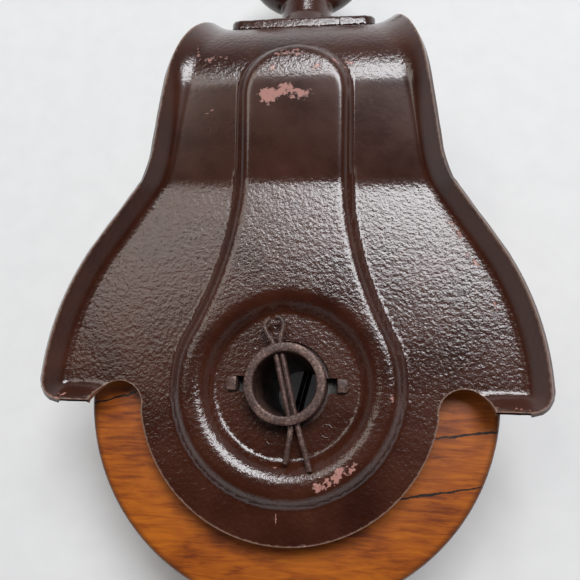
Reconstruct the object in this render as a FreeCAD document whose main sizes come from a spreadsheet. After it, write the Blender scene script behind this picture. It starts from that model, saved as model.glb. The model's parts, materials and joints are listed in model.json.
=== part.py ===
import FreeCAD, Part

import math
import os

import Sketcher
from FreeCAD import Placement, Rotation, Vector

# Single sheave block of the barn pulley pattern, in millimetres.
#
# The block lies on its back: X runs across it, Y along it towards the eye and Z along the axle.
# Each piece is drawn about the axle's centre and then placed by the same offset, so that the
# frame's origin is under the middle of the block, level with its lowest point.

DRIVING_SIZES = {
    # wooden sheave
    "wheel_radius": 76.2,
    "wheel_width": 41.0,
    "groove_depth": 14.0,
    "groove_land": 4.5,
    "wheel_edge_round": 1.5,
    # hub: bushing, plates and rivets
    "bushing_wall": 3.6,
    "hub_plate_radius": 30.0,
    "hub_plate_thickness": 2.0,
    "hub_rivet_count": 3,
    "hub_rivet_circle_radius": 24.0,
    "hub_rivet_radius": 2.4,
    "hub_rivet_head_radius": 4.2,
    "hub_rivet_head_height": 1.1,
    # tubular axle and the washers on it
    "axle_radius": 14.29,
    "axle_bore_radius": 11.11,
    "axle_standout": 7.75,
    "running_gap": 0.06,
    "seat_gap": 0.2,
    "end_gap": 0.3,
    "thrust_washer_radius": 19.0,
    "thrust_washer_thickness": 1.9,
    # cotter pins
    "cotter_radius": 2.0,
    "cotter_split": 0.3,
    "cotter_rim": 0.85,
    "cotter_lean": 14.0,
    "cotter_splay": 21.0,
    "cotter_short_splay": 3.0,
    "cotter_eye_radius": 1.75,
    "cotter_leg_reach": 30.0,
    "cotter_spread_reach": 26.5,
    # plates that bear the axle behind the cheeks
    "bearing_plate_radius": 24.0,
    "bearing_plate_thickness": 3.0,
    "tab_width": 5.1,
    "tab_thickness": 1.5,
    "tab_overlap": 2.8,
    # pressed shell: cheeks and wings
    "sheet_thickness": 2.0,
    "cheek_radius": 54.0,
    "cheek_hole_gap": 1.4,
    "notch_depth": 4.0,
    "wing_half_width": 88.9,
    "wing_lip_drop": 7.6,
    "wing_corner_radius": 7.0,
    "wing_bow_radius": 100.0,
    "wing_slope_angle": 32.5,
    "wing_slope_length": 22.4,
    "waist_radius": 47.0,
    "neck_angle": 8.5,
    "crown_bow_radius": 127.0,
    "crown_bow_rise": 40.0,
    "relief_radius": 9.0,
    "relief_drop": 9.0,
    "relief_bite": 0.5,
    "rim_height": 6.0,
    # pressed shell: side line of the strap
    "throat_length": 45.8,
    "crown_flare": 8.0,
    "crease_drop": 46.0,
    "crease_radius": 8.0,
    # pressed shell: raised panel and its ring
    "panel_height": 4.5,
    "panel_ring_radius": 42.0,
    "panel_half_width": 22.5,
    "panel_waist_radius": 140.0,
    "panel_top_drop": 12.0,
    "dish_radius": 26.7,
    "dish_slope_run": 7.0,
    # swivel foot
    "foot_thickness": 4.5,
    "foot_centre_radius": 20.0,
    "foot_ear_radius": 10.5,
    "foot_ear_offset": 21.5,
    "foot_rivet_radius": 2.6,
    "foot_rivet_head_radius": 4.6,
    "foot_rivet_head_height": 2.0,
    "boss_radius": 11.75,
    "boss_height": 15.7,
    "boss_flare": 7.5,
    # swivel eye
    "eye_outer_radius": 30.0,
    "eye_section_radius": 6.25,
    "eye_land_depth": 0.5,
    "eye_collar_height": 2.5,
    "shank_radius": 6.5,
    "swivel_washer_radius": 12.0,
    "swivel_washer_thickness": 2.5,
    "swivel_nut_radius": 10.5,
    "swivel_nut_height": 9.0,
    "shank_tail": 1.5,
}

DERIVED_SIZES = {
    "groove_width": "=wheel_width - 2 * groove_land",
    "bushing_radius": "=axle_radius + running_gap + bushing_wall",
    "hub_face": "=wheel_width / 2 + hub_plate_thickness",
    "bearing_face": "=hub_face + thrust_washer_thickness + 2 * end_gap",
    "cheek_face": "=bearing_face + bearing_plate_thickness + sheet_thickness",
    "axle_end": "=cheek_face + axle_standout",
    "cotter_hole_radius": "=cotter_radius + cotter_split / 2 + seat_gap",
    "cotter_level": "=axle_end - cotter_rim - cotter_hole_radius",
    "cotter_shoulder_radius": "=3.4 * cotter_eye_radius",
    "cotter_shoulder_start": "=axle_radius + 0.8 * cotter_radius",
    "cotter_bend_start": "=axle_radius + 0.6 * cotter_radius",
    "cotter_bend_radius": "=3.5 * cotter_radius",
    "strap_foot": "=2 * cheek_radius",
    "notch_reach": "=axle_radius + cheek_hole_gap + notch_depth",
    "crown_centre": "=wheel_radius + throat_length",
    "crown_radius": "=cheek_face + crown_flare",
    "crown_top": "=crown_centre + crown_radius",
    "boss_top": "=crown_top + boss_height",
    "eye_centre": "=boss_top + end_gap + eye_outer_radius",
    "eye_ring_radius": "=eye_outer_radius - eye_section_radius",
    "eye_hole_radius": "=eye_outer_radius - 2 * eye_section_radius + eye_land_depth",
    "axle_along": "=(wheel_radius - eye_centre - eye_outer_radius) / 2",
    "axle_up": "=crown_radius + rim_height",
}

ACROSS = Vector(1, 0, 0)
ALONG = Vector(0, 1, 0)
UP = Vector(0, 0, 1)
ORIGIN = Vector(0, 0, 0)

doc = FreeCAD.newDocument("SheaveBlock")
sheet = doc.addObject("Spreadsheet::Sheet", "sheet")
nodes = {}


def fill_sheet():
    """Write the driving sizes as plain numbers, then the sizes worked out from them."""
    rows = {name: str(value) for name, value in DRIVING_SIZES.items()}
    rows.update(DERIVED_SIZES)
    for row, (name, text) in enumerate(rows.items(), start=1):
        sheet.set(f"A{row}", name)
        sheet.set(f"B{row}", text)
        sheet.setAlias(f"B{row}", name)
    doc.recompute()


def size(name):
    """Read one size from the sheet."""
    return float(getattr(sheet, name))


# ---------------------------------------------------------------- document helpers


def bind(target, **expressions):
    """Bind properties to expressions over the sheet. A double underscore stands for a dot."""
    for name, expression in expressions.items():
        target.setExpression(name.replace("__", "."), expression)
    return target


def primitive(kind, name, **expressions):
    """Add a Part primitive whose sizes follow the sheet."""
    return bind(doc.addObject(f"Part::{kind}", name), **expressions)


def turned(target, axis, angle):
    """Turn a primitive about an axis through its own base point."""
    target.Placement = Placement(target.Placement.Base, Rotation(axis, angle))
    return target


def fuse(name, shapes):
    """Join several objects into one."""
    result = doc.addObject("Part::MultiFuse", name)
    result.Shapes = shapes
    result.Refine = True
    return result


def cut(name, base, tool):
    """Take one object from another."""
    result = doc.addObject("Part::Cut", name)
    result.Base = base
    result.Tool = tool
    return result


def common(name, first, second):
    """Keep what two objects share."""
    result = doc.addObject("Part::MultiCommon", name)
    result.Shapes = [first, second]
    return result


def origin_plane(body, role):
    """Find one of a body's own origin planes by its role."""
    return next(item for item in body.Origin.OriginFeatures if item.Role == role)


def new_sketch(body, name, role):
    """Add a sketch on one of the body's origin planes."""
    sketch = body.newObject("Sketcher::SketchObject", name)
    sketch.AttachmentSupport = [(origin_plane(body, role), "")]
    sketch.MapMode = "FlatFace"
    return sketch


def constrain(sketch, expression, *arguments):
    """Add one dimension to a sketch and bind it to an expression."""
    index = sketch.addConstraint(Sketcher.Constraint(*arguments))
    sketch.setExpression(f"Constraints[{index}]", expression)


def sketch_circle(sketch, radius, radius_value, across="0", along="0", centre=ORIGIN):
    """Draw a circle whose radius and centre follow the sheet."""
    circle = sketch.addGeometry(Part.Circle(centre, UP, radius_value), False)
    constrain(sketch, across, "DistanceX", -1, 1, circle, 3, centre.x)
    constrain(sketch, along, "DistanceY", -1, 1, circle, 3, centre.y)
    constrain(sketch, radius, "Radius", circle, radius_value)


def pad(body, name, sketch, length):
    """Pad a sketch evenly to both sides of its plane."""
    feature = body.newObject("PartDesign::Pad", name)
    feature.Profile = sketch
    feature.Midplane = True
    feature.setExpression("Length", length)
    return feature


def through_pocket(body, name, sketch):
    """Pocket a sketch right through the body, both ways."""
    feature = body.newObject("PartDesign::Pocket", name)
    feature.Profile = sketch
    feature.Type = "ThroughAll"
    feature.Midplane = True
    doc.recompute()
    return feature


def polar_pattern(body, name, feature, count):
    """Repeat a feature about the body's Z axis and make the pattern the body's tip."""
    pattern = body.newObject("PartDesign::PolarPattern", name)
    pattern.Originals = [feature]
    pattern.Axis = (origin_plane(body, "Z_Axis"), [""])
    pattern.Angle = 360
    pattern.setExpression("Occurrences", count)
    body.Tip = pattern
    return pattern


def node(name, target, level="0", turn=Rotation()):
    """Name a finished piece and set it at the axle, raised along the axle by a level."""
    target.Label = name
    target.Placement = Placement(ORIGIN, turn)
    bind(
        target,
        Placement__Base__y="sheet.axle_along",
        Placement__Base__z=f"sheet.axle_up + {level}",
    )
    nodes[name] = target


FRONT = Rotation()
REAR = Rotation(ALONG, 180)
SIDES = {"front": (FRONT, ""), "rear": (REAR, "-")}


# ---------------------------------------------------------------- sheave and hub


def build_wheel():
    """Turned hardwood sheave with a round rope groove, bored for the bushing and rivets."""
    body = doc.addObject("PartDesign::Body", "WheelBody")
    sketch = new_sketch(body, "WheelProfile", "XZ_Plane")
    inner = size("bushing_radius")
    outer = size("wheel_radius")
    half = size("wheel_width") / 2
    lip = size("groove_width") / 2
    depth = size("groove_depth")
    groove = (lip**2 + depth**2) / (2 * depth)
    corners = (
        (inner, -half, "sheet.bushing_radius", "-sheet.wheel_width / 2"),
        (outer, -half, "sheet.wheel_radius", "-sheet.wheel_width / 2"),
        (outer, -lip, "sheet.wheel_radius", "-sheet.groove_width / 2"),
        (outer, lip, "sheet.wheel_radius", "sheet.groove_width / 2"),
        (outer, half, "sheet.wheel_radius", "sheet.wheel_width / 2"),
        (inner, half, "sheet.bushing_radius", "sheet.wheel_width / 2"),
    )
    points = [Vector(corner[0], corner[1], 0) for corner in corners]
    groove_centre = Vector(outer - depth + groove, 0, 0)
    half_angle = math.asin(lip / groove)
    sketch.addGeometry(Part.LineSegment(points[0], points[1]), False)
    sketch.addGeometry(Part.LineSegment(points[1], points[2]), False)
    groove_circle = Part.Circle(groove_centre, UP, groove)
    groove_arc = Part.ArcOfCircle(groove_circle, math.pi - half_angle, math.pi + half_angle)
    sketch.addGeometry(groove_arc, False)
    sketch.addGeometry(Part.LineSegment(points[3], points[4]), False)
    sketch.addGeometry(Part.LineSegment(points[4], points[5]), False)
    sketch.addGeometry(Part.LineSegment(points[5], points[0]), False)
    # The groove's arc is drawn anticlockwise, so it starts at the upper lip and ends at the lower.
    links = ((0, 2, 1, 1), (1, 2, 2, 2), (2, 1, 3, 1), (3, 2, 4, 1), (4, 2, 5, 1), (5, 2, 0, 1))
    for link in links:
        sketch.addConstraint(Sketcher.Constraint("Coincident", *link))
    pinned = ((0, 1), (1, 1), (1, 2), (3, 1), (4, 1), (5, 1))
    for (line, end), (across, up, across_rule, up_rule) in zip(pinned, corners):
        constrain(sketch, across_rule, "DistanceX", -1, 1, line, end, across)
        constrain(sketch, up_rule, "DistanceY", -1, 1, line, end, up)
    groove_rule = "((sheet.groove_width / 2)^2 + sheet.groove_depth^2) / (2 * sheet.groove_depth)"
    constrain(sketch, groove_rule, "Radius", 2, groove)

    turning = body.newObject("PartDesign::Revolution", "WheelTurning")
    turning.Profile = sketch
    turning.ReferenceAxis = (origin_plane(body, "Z_Axis"), [""])
    turning.Angle = 360
    doc.recompute()

    rounding = body.newObject("PartDesign::Fillet", "WheelEdges")
    rounding.Base = (turning, rim_edges(turning.Shape, outer))
    rounding.setExpression("Radius", "sheet.wheel_edge_round")
    doc.recompute()
    rivet_holes(body, "Wheel")
    node("sheave_wheel", body)


def rim_edges(shape, radius):
    """Names of the circular edges that have this radius."""
    names = []
    for number, edge in enumerate(shape.Edges, start=1):
        if isinstance(edge.Curve, Part.Circle) and abs(edge.Curve.Radius - radius) < 1e-6:
            names.append(f"Edge{number}")
    return names


def rivet_holes(body, prefix):
    """Bore the ring of rivet holes through a hub piece."""
    sketch = new_sketch(body, f"{prefix}RivetHole", "XY_Plane")
    sketch_circle(
        sketch,
        "sheet.hub_rivet_radius",
        size("hub_rivet_radius"),
        along="sheet.hub_rivet_circle_radius",
        centre=Vector(0, size("hub_rivet_circle_radius"), 0),
    )
    hole = through_pocket(body, f"{prefix}RivetBore", sketch)
    polar_pattern(body, f"{prefix}RivetBores", hole, "sheet.hub_rivet_count")
    doc.recompute()


def build_hub():
    """Metal bushing, the two plates on the wood and the rivets through them."""
    outer = primitive(
        "Cylinder",
        "BushingOutside",
        Radius="sheet.bushing_radius",
        Height="2 * sheet.hub_face",
    )
    bore = primitive(
        "Cylinder",
        "BushingBore",
        Radius="sheet.axle_radius + sheet.running_gap",
        Height="2 * sheet.hub_face",
    )
    node("hub_bushing", cut("Bushing", outer, bore), level="-sheet.hub_face")

    for side, (_, sign) in SIDES.items():
        body = doc.addObject("PartDesign::Body", f"HubPlate{side.title()}")
        sketch = new_sketch(body, f"HubPlateRing{side.title()}", "XY_Plane")
        sketch_circle(sketch, "sheet.hub_plate_radius", size("hub_plate_radius"))
        sketch_circle(sketch, "sheet.bushing_radius", size("bushing_radius"))
        pad(body, f"HubPlatePad{side.title()}", sketch, "sheet.hub_plate_thickness")
        doc.recompute()
        rivet_holes(body, f"HubPlate{side.title()}")
        level = f"({sign}(sheet.wheel_width + sheet.hub_plate_thickness) / 2)"
        node(f"hub_plate_{side}", body, level=level)

    count = int(size("hub_rivet_count"))
    for number in range(count):
        build_hub_rivet(number + 1, 360 * number / count)


def build_hub_rivet(number, angle):
    """One rivet through the hub plates and the wood, with a low head at each end."""
    across = f"-sheet.hub_rivet_circle_radius * sin({angle} deg)"
    along = f"sheet.hub_rivet_circle_radius * cos({angle} deg)"
    place = {"Placement__Base__x": across, "Placement__Base__y": along}
    shank = primitive(
        "Cylinder",
        f"HubRivetShank{number}",
        Radius="sheet.hub_rivet_radius",
        Height="2 * sheet.hub_face",
        Placement__Base__z="-sheet.hub_face",
        **place,
    )
    parts = [shank]
    head_sizes = {"Radius": "sheet.hub_rivet_head_radius", "Height": "sheet.hub_rivet_head_height"}
    levels = {"Top": "sheet.hub_face", "Bottom": "-sheet.hub_face - sheet.hub_rivet_head_height"}
    for end, level in levels.items():
        name = f"HubRivet{end}{number}"
        parts.append(primitive("Cylinder", name, Placement__Base__z=level, **head_sizes, **place))
    node(f"hub_rivet_{number}", fuse(f"HubRivet{number}", parts))


# ---------------------------------------------------------------- axle


def build_axle():
    """Tube through both cheeks, cross-drilled near each end for a cotter pin."""
    tube = primitive(
        "Cylinder",
        "AxleOutside",
        Radius="sheet.axle_radius",
        Height="2 * sheet.axle_end",
        Placement__Base__z="-sheet.axle_end",
    )
    tools = [
        primitive(
            "Cylinder",
            "AxleBore",
            Radius="sheet.axle_bore_radius",
            Height="2 * sheet.axle_end",
            Placement__Base__z="-sheet.axle_end",
        )
    ]
    for side, (_, sign) in SIDES.items():
        lean = size("cotter_lean") if side == "front" else -size("cotter_lean")
        hole = primitive(
            "Cylinder",
            f"CrossHole{side.title()}",
            Radius="sheet.cotter_hole_radius",
            Height="4 * sheet.axle_radius",
        )
        direction = Rotation(UP, lean).multVec(ALONG)
        start = direction * (-2 * size("axle_radius"))
        hole.Placement = Placement(start, Rotation(UP, direction))
        bind(hole, Placement__Base__z=f"{sign}sheet.cotter_level")
        tools.append(hole)
    node("axle_tube", cut("AxleTube", tube, fuse("AxleTools", tools)))


def build_thrust_washers():
    """Washers on the tube between the hub plates and the bearing plates."""
    for side, (_, sign) in SIDES.items():
        disc = primitive(
            "Cylinder",
            f"ThrustDisc{side.title()}",
            Radius="sheet.thrust_washer_radius",
            Height="sheet.thrust_washer_thickness",
            Placement__Base__z="-sheet.thrust_washer_thickness / 2",
        )
        bore = primitive(
            "Cylinder",
            f"ThrustBore{side.title()}",
            Radius="sheet.axle_radius + sheet.seat_gap",
            Height="sheet.thrust_washer_thickness",
            Placement__Base__z="-sheet.thrust_washer_thickness / 2",
        )
        level = f"({sign}(sheet.hub_face + sheet.bearing_face) / 2)"
        node(f"thrust_washer_{side}", cut(f"ThrustWasher{side.title()}", disc, bore), level=level)


def cotter_leg(side, bend, reach):
    """Line of one leg, from the turn of the eye to the tip, on its flat side.

    The side is 1 or -1. The bend is the angle by which the leg is spread below the tube, and the
    reach is how far its tip is from the axle's centre.
    """
    half_split = size("cotter_split") / 2
    eye_radius = size("cotter_eye_radius")
    shoulder_radius = size("cotter_shoulder_radius")
    shoulder_turn = math.acos((half_split + shoulder_radius) / (shoulder_radius + eye_radius))
    shoulder = size("cotter_shoulder_start")
    bend_start = size("cotter_bend_start")
    bend_radius = size("cotter_bend_radius")

    def leg_point(across, along):
        return Vector(side * across, along, 0)

    def shoulder_point(turn):
        return leg_point(
            half_split + shoulder_radius * (1 - math.cos(turn)),
            shoulder + shoulder_radius * math.sin(turn),
        )

    def bend_point(turn):
        return leg_point(
            half_split + bend_radius * (1 - math.cos(turn)),
            -bend_start - bend_radius * math.sin(turn),
        )

    eye_centre = Vector(0, shoulder + (shoulder_radius + eye_radius) * math.sin(shoulder_turn), 0)
    eye_side = shoulder_point(shoulder_turn)
    eye_top = eye_centre + ALONG * eye_radius
    middle_turn = (math.pi / 2 - shoulder_turn) / 2
    eye_middle = eye_centre + leg_point(math.cos(middle_turn), math.sin(middle_turn)) * eye_radius
    bend_end = bend_point(bend)
    leg_direction = leg_point(math.sin(bend), -math.cos(bend))
    along_leg = -bend_end.dot(leg_direction)
    off_axis = bend_end.Length**2 - along_leg**2
    tip = bend_end + leg_direction * (along_leg + math.sqrt(reach**2 - off_axis))
    return [
        Part.Arc(eye_top, eye_middle, eye_side).toShape(),
        Part.Arc(eye_side, shoulder_point(shoulder_turn / 2), shoulder_point(0)).toShape(),
        Part.LineSegment(shoulder_point(0), bend_point(0)).toShape(),
        Part.Arc(bend_point(0), bend_point(bend / 2), bend_end).toShape(),
        Part.LineSegment(bend_end, tip).toShape(),
    ]


def cotter_shape():
    """Half-round wire folded on its flat side into an eye and two legs, one leg spread more."""
    radius = size("cotter_radius")
    halves = []
    legs = ((1, "cotter_short_splay", "cotter_leg_reach"), (-1, "cotter_splay", "cotter_spread_reach"))
    for side, splay, reach in legs:
        path = Part.Wire(cotter_leg(side, math.radians(size(splay)), size(reach)))
        top = path.Edges[0].Vertexes[0].Point
        section = Part.Wire(
            [
                Part.Arc(top - UP * radius, top + ALONG * radius, top + UP * radius).toShape(),
                Part.LineSegment(top + UP * radius, top - UP * radius).toShape(),
            ]
        )
        halves.append(path.makePipeShell([section], True, False))
    return halves[0].fuse(halves[1]).removeSplitter()


def build_cotter_pins():
    """A cotter pin through each end of the tube."""
    for side, (turn, sign) in SIDES.items():
        pin = doc.addObject("Part::Feature", f"CotterPin{side.title()}")
        pin.Shape = cotter_shape()
        lean = Rotation(UP, size("cotter_lean"))
        node(f"cotter_pin_{side}", pin, level=f"({sign}sheet.cotter_level)", turn=turn.multiply(lean))


def build_bearing_plates():
    """Plates behind the cheeks, whose tabs are bent up out of slots and through the notches."""
    for side, (turn, _) in SIDES.items():
        label = side.title()
        disc = primitive(
            "Cylinder",
            f"BearingDisc{label}",
            Radius="sheet.bearing_plate_radius",
            Height="sheet.bearing_plate_thickness",
            Placement__Base__z="sheet.bearing_face",
        )
        parts = [disc]
        rise = "sheet.sheet_thickness + sheet.tab_thickness + sheet.bearing_plate_thickness"
        tab_inner = "(sheet.notch_reach - sheet.seat_gap - sheet.tab_thickness)"
        fold_length = f"sheet.notch_reach + sheet.tab_overlap - {tab_inner}"
        tab_lengths = {"Riser": "sheet.tab_thickness", "Fold": fold_length}
        tab_heights = {"Riser": rise, "Fold": "sheet.tab_thickness"}
        tab_levels = {"Riser": "sheet.bearing_face", "Fold": "sheet.cheek_face"}
        for piece, length in tab_lengths.items():
            starts = {"Right": tab_inner, "Left": f"-{tab_inner} - ({length})"}
            for hand, start in starts.items():
                parts.append(
                    primitive(
                        "Box",
                        f"Tab{piece}{hand}{label}",
                        Length=length,
                        Width="sheet.tab_width",
                        Height=tab_heights[piece],
                        Placement__Base__x=start,
                        Placement__Base__y="-sheet.tab_width / 2",
                        Placement__Base__z=tab_levels[piece],
                    )
                )
        bore = primitive(
            "Cylinder",
            f"BearingBore{label}",
            Radius="sheet.axle_radius + sheet.running_gap",
            Height="2 * sheet.axle_end",
        )
        slot = primitive(
            "Box",
            f"BearingSlot{label}",
            Length=f"2 * {tab_inner}",
            Width="sheet.tab_width + 2 * sheet.seat_gap",
            Height="sheet.cheek_face + sheet.tab_thickness",
            Placement__Base__x=f"-{tab_inner}",
            Placement__Base__y="-sheet.tab_width / 2 - sheet.seat_gap",
        )
        opening = fuse(f"BearingOpening{label}", [bore, slot])
        plate = cut(f"BearingPlate{label}", fuse(f"BearingBlank{label}", parts), opening)
        node(f"bearing_plate_{side}", plate, turn=turn)


# ---------------------------------------------------------------- pressed shell


def mirrored_line(edges, normal):
    """The same edges mirrored in a plane through the origin."""
    return [edge.mirror(ORIGIN, normal) for edge in edges]


def strap_line(offset):
    """Side line of the strap, from one foot over the crown to the other, offset outwards."""
    face = size("cheek_face")
    radius = size("crown_radius")
    centre = size("crown_centre")
    drop = size("crease_drop")
    distance = math.hypot(drop, face)
    lean = math.asin(radius / distance) - math.atan2(face, drop)
    run = Vector(0, math.cos(lean), math.sin(lean))
    outward = Vector(0, -math.sin(lean), math.cos(lean))

    crease = Vector(0, centre - drop - offset * math.tan(lean / 2), face + offset)
    bend_radius = size("crease_radius") - offset
    setback = bend_radius * math.tan(lean / 2)
    bend_start = crease - ALONG * setback
    bend_middle = bend_start + UP * bend_radius
    bend_middle += Vector(0, math.sin(lean / 2), -math.cos(lean / 2)) * bend_radius
    touch = Vector(0, centre - drop, face) + run * math.sqrt(distance**2 - radius**2) + outward * offset
    foot = Vector(0, -size("strap_foot"), face + offset)
    crown = Vector(0, centre + radius + offset, 0)
    far_touch = Vector(0, touch.y, -touch.z)
    front = [
        Part.LineSegment(foot, bend_start).toShape(),
        Part.Arc(bend_start, bend_middle, crease + run * setback).toShape(),
        Part.LineSegment(crease + run * setback, touch).toShape(),
    ]
    return front + [Part.Arc(touch, crown, far_touch).toShape()] + mirrored_line(front, UP)


def strap_layer(inner, outer):
    """Solid between two offsets of the side line, wider than the shell."""
    edges = strap_line(inner) + strap_line(outer)
    foot = -size("strap_foot")
    face = size("cheek_face")
    for sign in (1, -1):
        ends = Vector(0, foot, sign * (face + inner)), Vector(0, foot, sign * (face + outer))
        edges.append(Part.LineSegment(*ends).toShape())
    wire = Part.Wire(Part.__sortEdges__(edges))
    span = 2 * size("wing_half_width") + 2 * size("rim_height")
    layer = Part.Face(wire).extrude(ACROSS * span)
    layer.translate(ACROSS * (-span / 2))
    return layer


def prism(wire):
    """Solid right through the block along the axle, inside a wire in the XY plane."""
    depth = 2 * (size("crown_radius") + 2 * size("rim_height"))
    solid = Part.Face(wire).extrude(UP * depth)
    solid.translate(UP * (-depth / 2))
    return solid


def edge_normal(angle):
    """Outward direction of the shell's side edge where it leans in by an angle."""
    return Vector(math.cos(angle), math.sin(angle), 0)


def edge_arc(centre, radius, first, last, sign=1):
    """Arc of the side edge between two lean angles. The sign is -1 where it is hollow."""
    angles = (first, (first + last) / 2, last)
    return Part.Arc(*(centre + edge_normal(angle) * (sign * radius) for angle in angles)).toShape()


def wing_edge(inset, lip_start):
    """Right side edge of the shell, from a point on the lip to above the crown, inset inwards."""
    corner = size("wing_corner_radius")
    bow = size("wing_bow_radius")
    waist = size("waist_radius")
    crown_bow = size("crown_bow_radius")
    slope = math.radians(size("wing_slope_angle"))
    neck = math.radians(size("neck_angle"))
    lip = -size("wing_lip_drop")

    corner_centre = Vector(size("wing_half_width") - corner, lip + corner, 0)
    bow_centre = corner_centre + ACROSS * (corner - bow)
    slope_shift = Vector(-math.sin(slope), math.cos(slope), 0) * size("wing_slope_length")
    waist_centre = bow_centre + edge_normal(slope) * (bow + waist) + slope_shift
    neck_start = waist_centre - edge_normal(neck) * waist
    neck_rise = size("crown_top") - size("crown_bow_rise") - neck_start.y
    neck_shift = Vector(-math.tan(neck), 1, 0) * neck_rise
    crown_centre = neck_start + neck_shift - edge_normal(neck) * crown_bow
    crown_lean = math.asin(math.sin(neck) + size("crown_bow_rise") / crown_bow)

    arcs = [
        edge_arc(corner_centre, corner - inset, -math.pi / 2, 0),
        edge_arc(bow_centre, bow - inset, 0, slope),
        edge_arc(waist_centre, waist + inset, slope, neck, sign=-1),
        edge_arc(crown_centre, crown_bow - inset, neck, crown_lean),
    ]
    start = Vector(lip_start, lip + inset, 0)
    top = crown_centre + edge_normal(crown_lean) * (crown_bow - inset)
    above = Vector(top.x, size("crown_top") + 2 * size("rim_height"), 0)
    stops = [start]
    for arc in arcs:
        ends = sorted((vertex.Point for vertex in arc.Vertexes), key=lambda point: point.y)
        stops.extend(ends)
    stops.append(above)
    edges = list(arcs)
    for first, second in zip(stops[0::2], stops[1::2]):
        if first.distanceToPoint(second) > 1e-6:
            edges.append(Part.LineSegment(first, second).toShape())
    return edges, start, above


def relief_centre():
    """Centre of the round relief between a cheek's round foot and the wing's lip."""
    reach = size("cheek_radius") + size("relief_radius") - size("relief_bite")
    drop = size("relief_drop")
    return Vector(math.sqrt(reach**2 - drop**2), -drop, 0)


def outline_prism():
    """The shell's front outline: wings, neck and the cheeks' round feet."""
    edges, start, above = wing_edge(0, 0)
    edges = edges + mirrored_line(edges, ACROSS)
    mirrored_above = Vector(-above.x, above.y, 0)
    edges.append(Part.LineSegment(above, mirrored_above).toShape())
    solid = prism(Part.Wire(Part.__sortEdges__(edges)))
    solid = solid.fuse(prism(Part.Wire(Part.makeCircle(size("cheek_radius")))))
    centre = relief_centre()
    for sign in (1, -1):
        relief = Part.makeCircle(size("relief_radius"), Vector(sign * centre.x, centre.y, 0))
        solid = solid.cut(prism(Part.Wire(relief)))
    return solid


def rim_prism():
    """Band along the right side edge, as wide as the sheet, that the rim stands on."""
    lip_start = relief_centre().x + size("relief_radius")
    outer, outer_start, outer_end = wing_edge(0, lip_start)
    inner, inner_start, inner_end = wing_edge(size("sheet_thickness"), lip_start)
    closing = [
        Part.LineSegment(outer_start, inner_start).toShape(),
        Part.LineSegment(outer_end, inner_end).toShape(),
    ]
    return prism(Part.Wire(Part.__sortEdges__(outer + inner + closing)))


def panel_prism(inset):
    """Outline of the raised panel: a ring about the axle that narrows into a round-ended neck."""
    ring = size("panel_ring_radius")
    half = size("panel_half_width")
    waist = size("panel_waist_radius")
    waist_across = half + waist
    waist_along = math.sqrt((ring + waist) ** 2 - waist_across**2)
    waist_centre = Vector(waist_across, waist_along, 0)
    top = size("crown_centre") - size("panel_top_drop")

    touch = Vector(waist_centre).normalize() * (ring - inset)
    neck = Vector(half - inset, waist_along, 0)
    waist_middle = waist_centre + ((touch + neck) / 2 - waist_centre).normalize() * (waist + inset)
    shoulder = Vector(half - inset, top, 0)
    right = [
        Part.Arc(touch, waist_middle, neck).toShape(),
        Part.LineSegment(neck, shoulder).toShape(),
    ]
    ring_arc = Part.Arc(Vector(-touch.x, touch.y, 0), Vector(0, inset - ring, 0), touch).toShape()
    round_top = Vector(0, top + half - inset, 0)
    top_arc = Part.Arc(shoulder, round_top, Vector(-shoulder.x, top, 0)).toShape()
    edges = right + mirrored_line(right, ACROSS) + [ring_arc, top_arc]
    return prism(Part.Wire(Part.__sortEdges__(edges)))


def dish_cone(foot_radius, foot_level, rise):
    """Cone of the dish's slope on both cheeks, widening outwards by the slope's run."""
    slope = size("dish_slope_run") / size("panel_height")
    cones = []
    for direction in (UP, UP * -1):
        base = direction * foot_level
        cones.append(Part.makeCone(foot_radius, foot_radius + slope * rise, rise, base, direction))
    return cones[0].fuse(cones[1])


def through_cylinder(radius, centre, direction):
    """Long cylinder through the block, centred on a point."""
    length = 4 * size("crown_radius")
    return Part.makeCylinder(radius, length, centre - direction * (length / 2), direction)


def build_shell():
    """One pressed strap: both cheeks with their wings, rims and raised panels, and the crown."""
    thickness = size("sheet_thickness")
    height = size("panel_height")
    face = size("cheek_face")
    dish = size("dish_radius")
    slope_angle = math.atan2(height, size("dish_slope_run"))

    plate = strap_layer(-thickness, 0).common(outline_prism())
    right_rim = strap_layer(-thickness, size("rim_height")).common(rim_prism())
    left_rim = right_rim.mirror(ORIGIN, ACROSS)
    panel = strap_layer(-thickness, height).common(panel_prism(0))
    panel = panel.cut(dish_cone(dish, face, height + thickness))
    blank = plate.multiFuse([right_rim, left_rim, panel]).removeSplitter()

    hollow_depth = height - thickness
    hollow = strap_layer(-2 * thickness, hollow_depth).common(panel_prism(thickness))
    inner_dish = dish + thickness * math.tan(slope_angle / 2)
    inner_rise = height + thickness
    dish_wall = dish_cone(inner_dish, face - thickness, inner_rise)
    dish_floor = Part.makeCylinder(inner_dish, 2 * face, UP * -face)
    hollow = hollow.cut(dish_wall.fuse(dish_floor))
    shell = blank.cut(hollow)

    shell = shell.cut(through_cylinder(size("axle_radius") + size("cheek_hole_gap"), ORIGIN, UP))
    notch_width = size("tab_width") + 2 * size("seat_gap")
    reach = size("notch_reach")
    notch_corner = Vector(-reach, -notch_width / 2, -2 * face)
    shell = shell.cut(Part.makeBox(2 * reach, notch_width, 4 * face, notch_corner))
    under_crown = Vector(0, size("crown_top") - 2 * thickness, 0)
    ear = ACROSS * size("foot_ear_offset")
    crown_holes = (
        (under_crown, size("shank_radius") + size("end_gap")),
        (under_crown + ear, size("foot_rivet_radius")),
        (under_crown - ear, size("foot_rivet_radius")),
    )
    for centre, radius in crown_holes:
        shell = shell.cut(Part.makeCylinder(radius, 4 * thickness, centre, ALONG))
    feature = doc.addObject("Part::Feature", "PressedShell")
    feature.Shape = shell.removeSplitter()
    node("shell", feature)


# ---------------------------------------------------------------- swivel foot and eye


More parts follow.
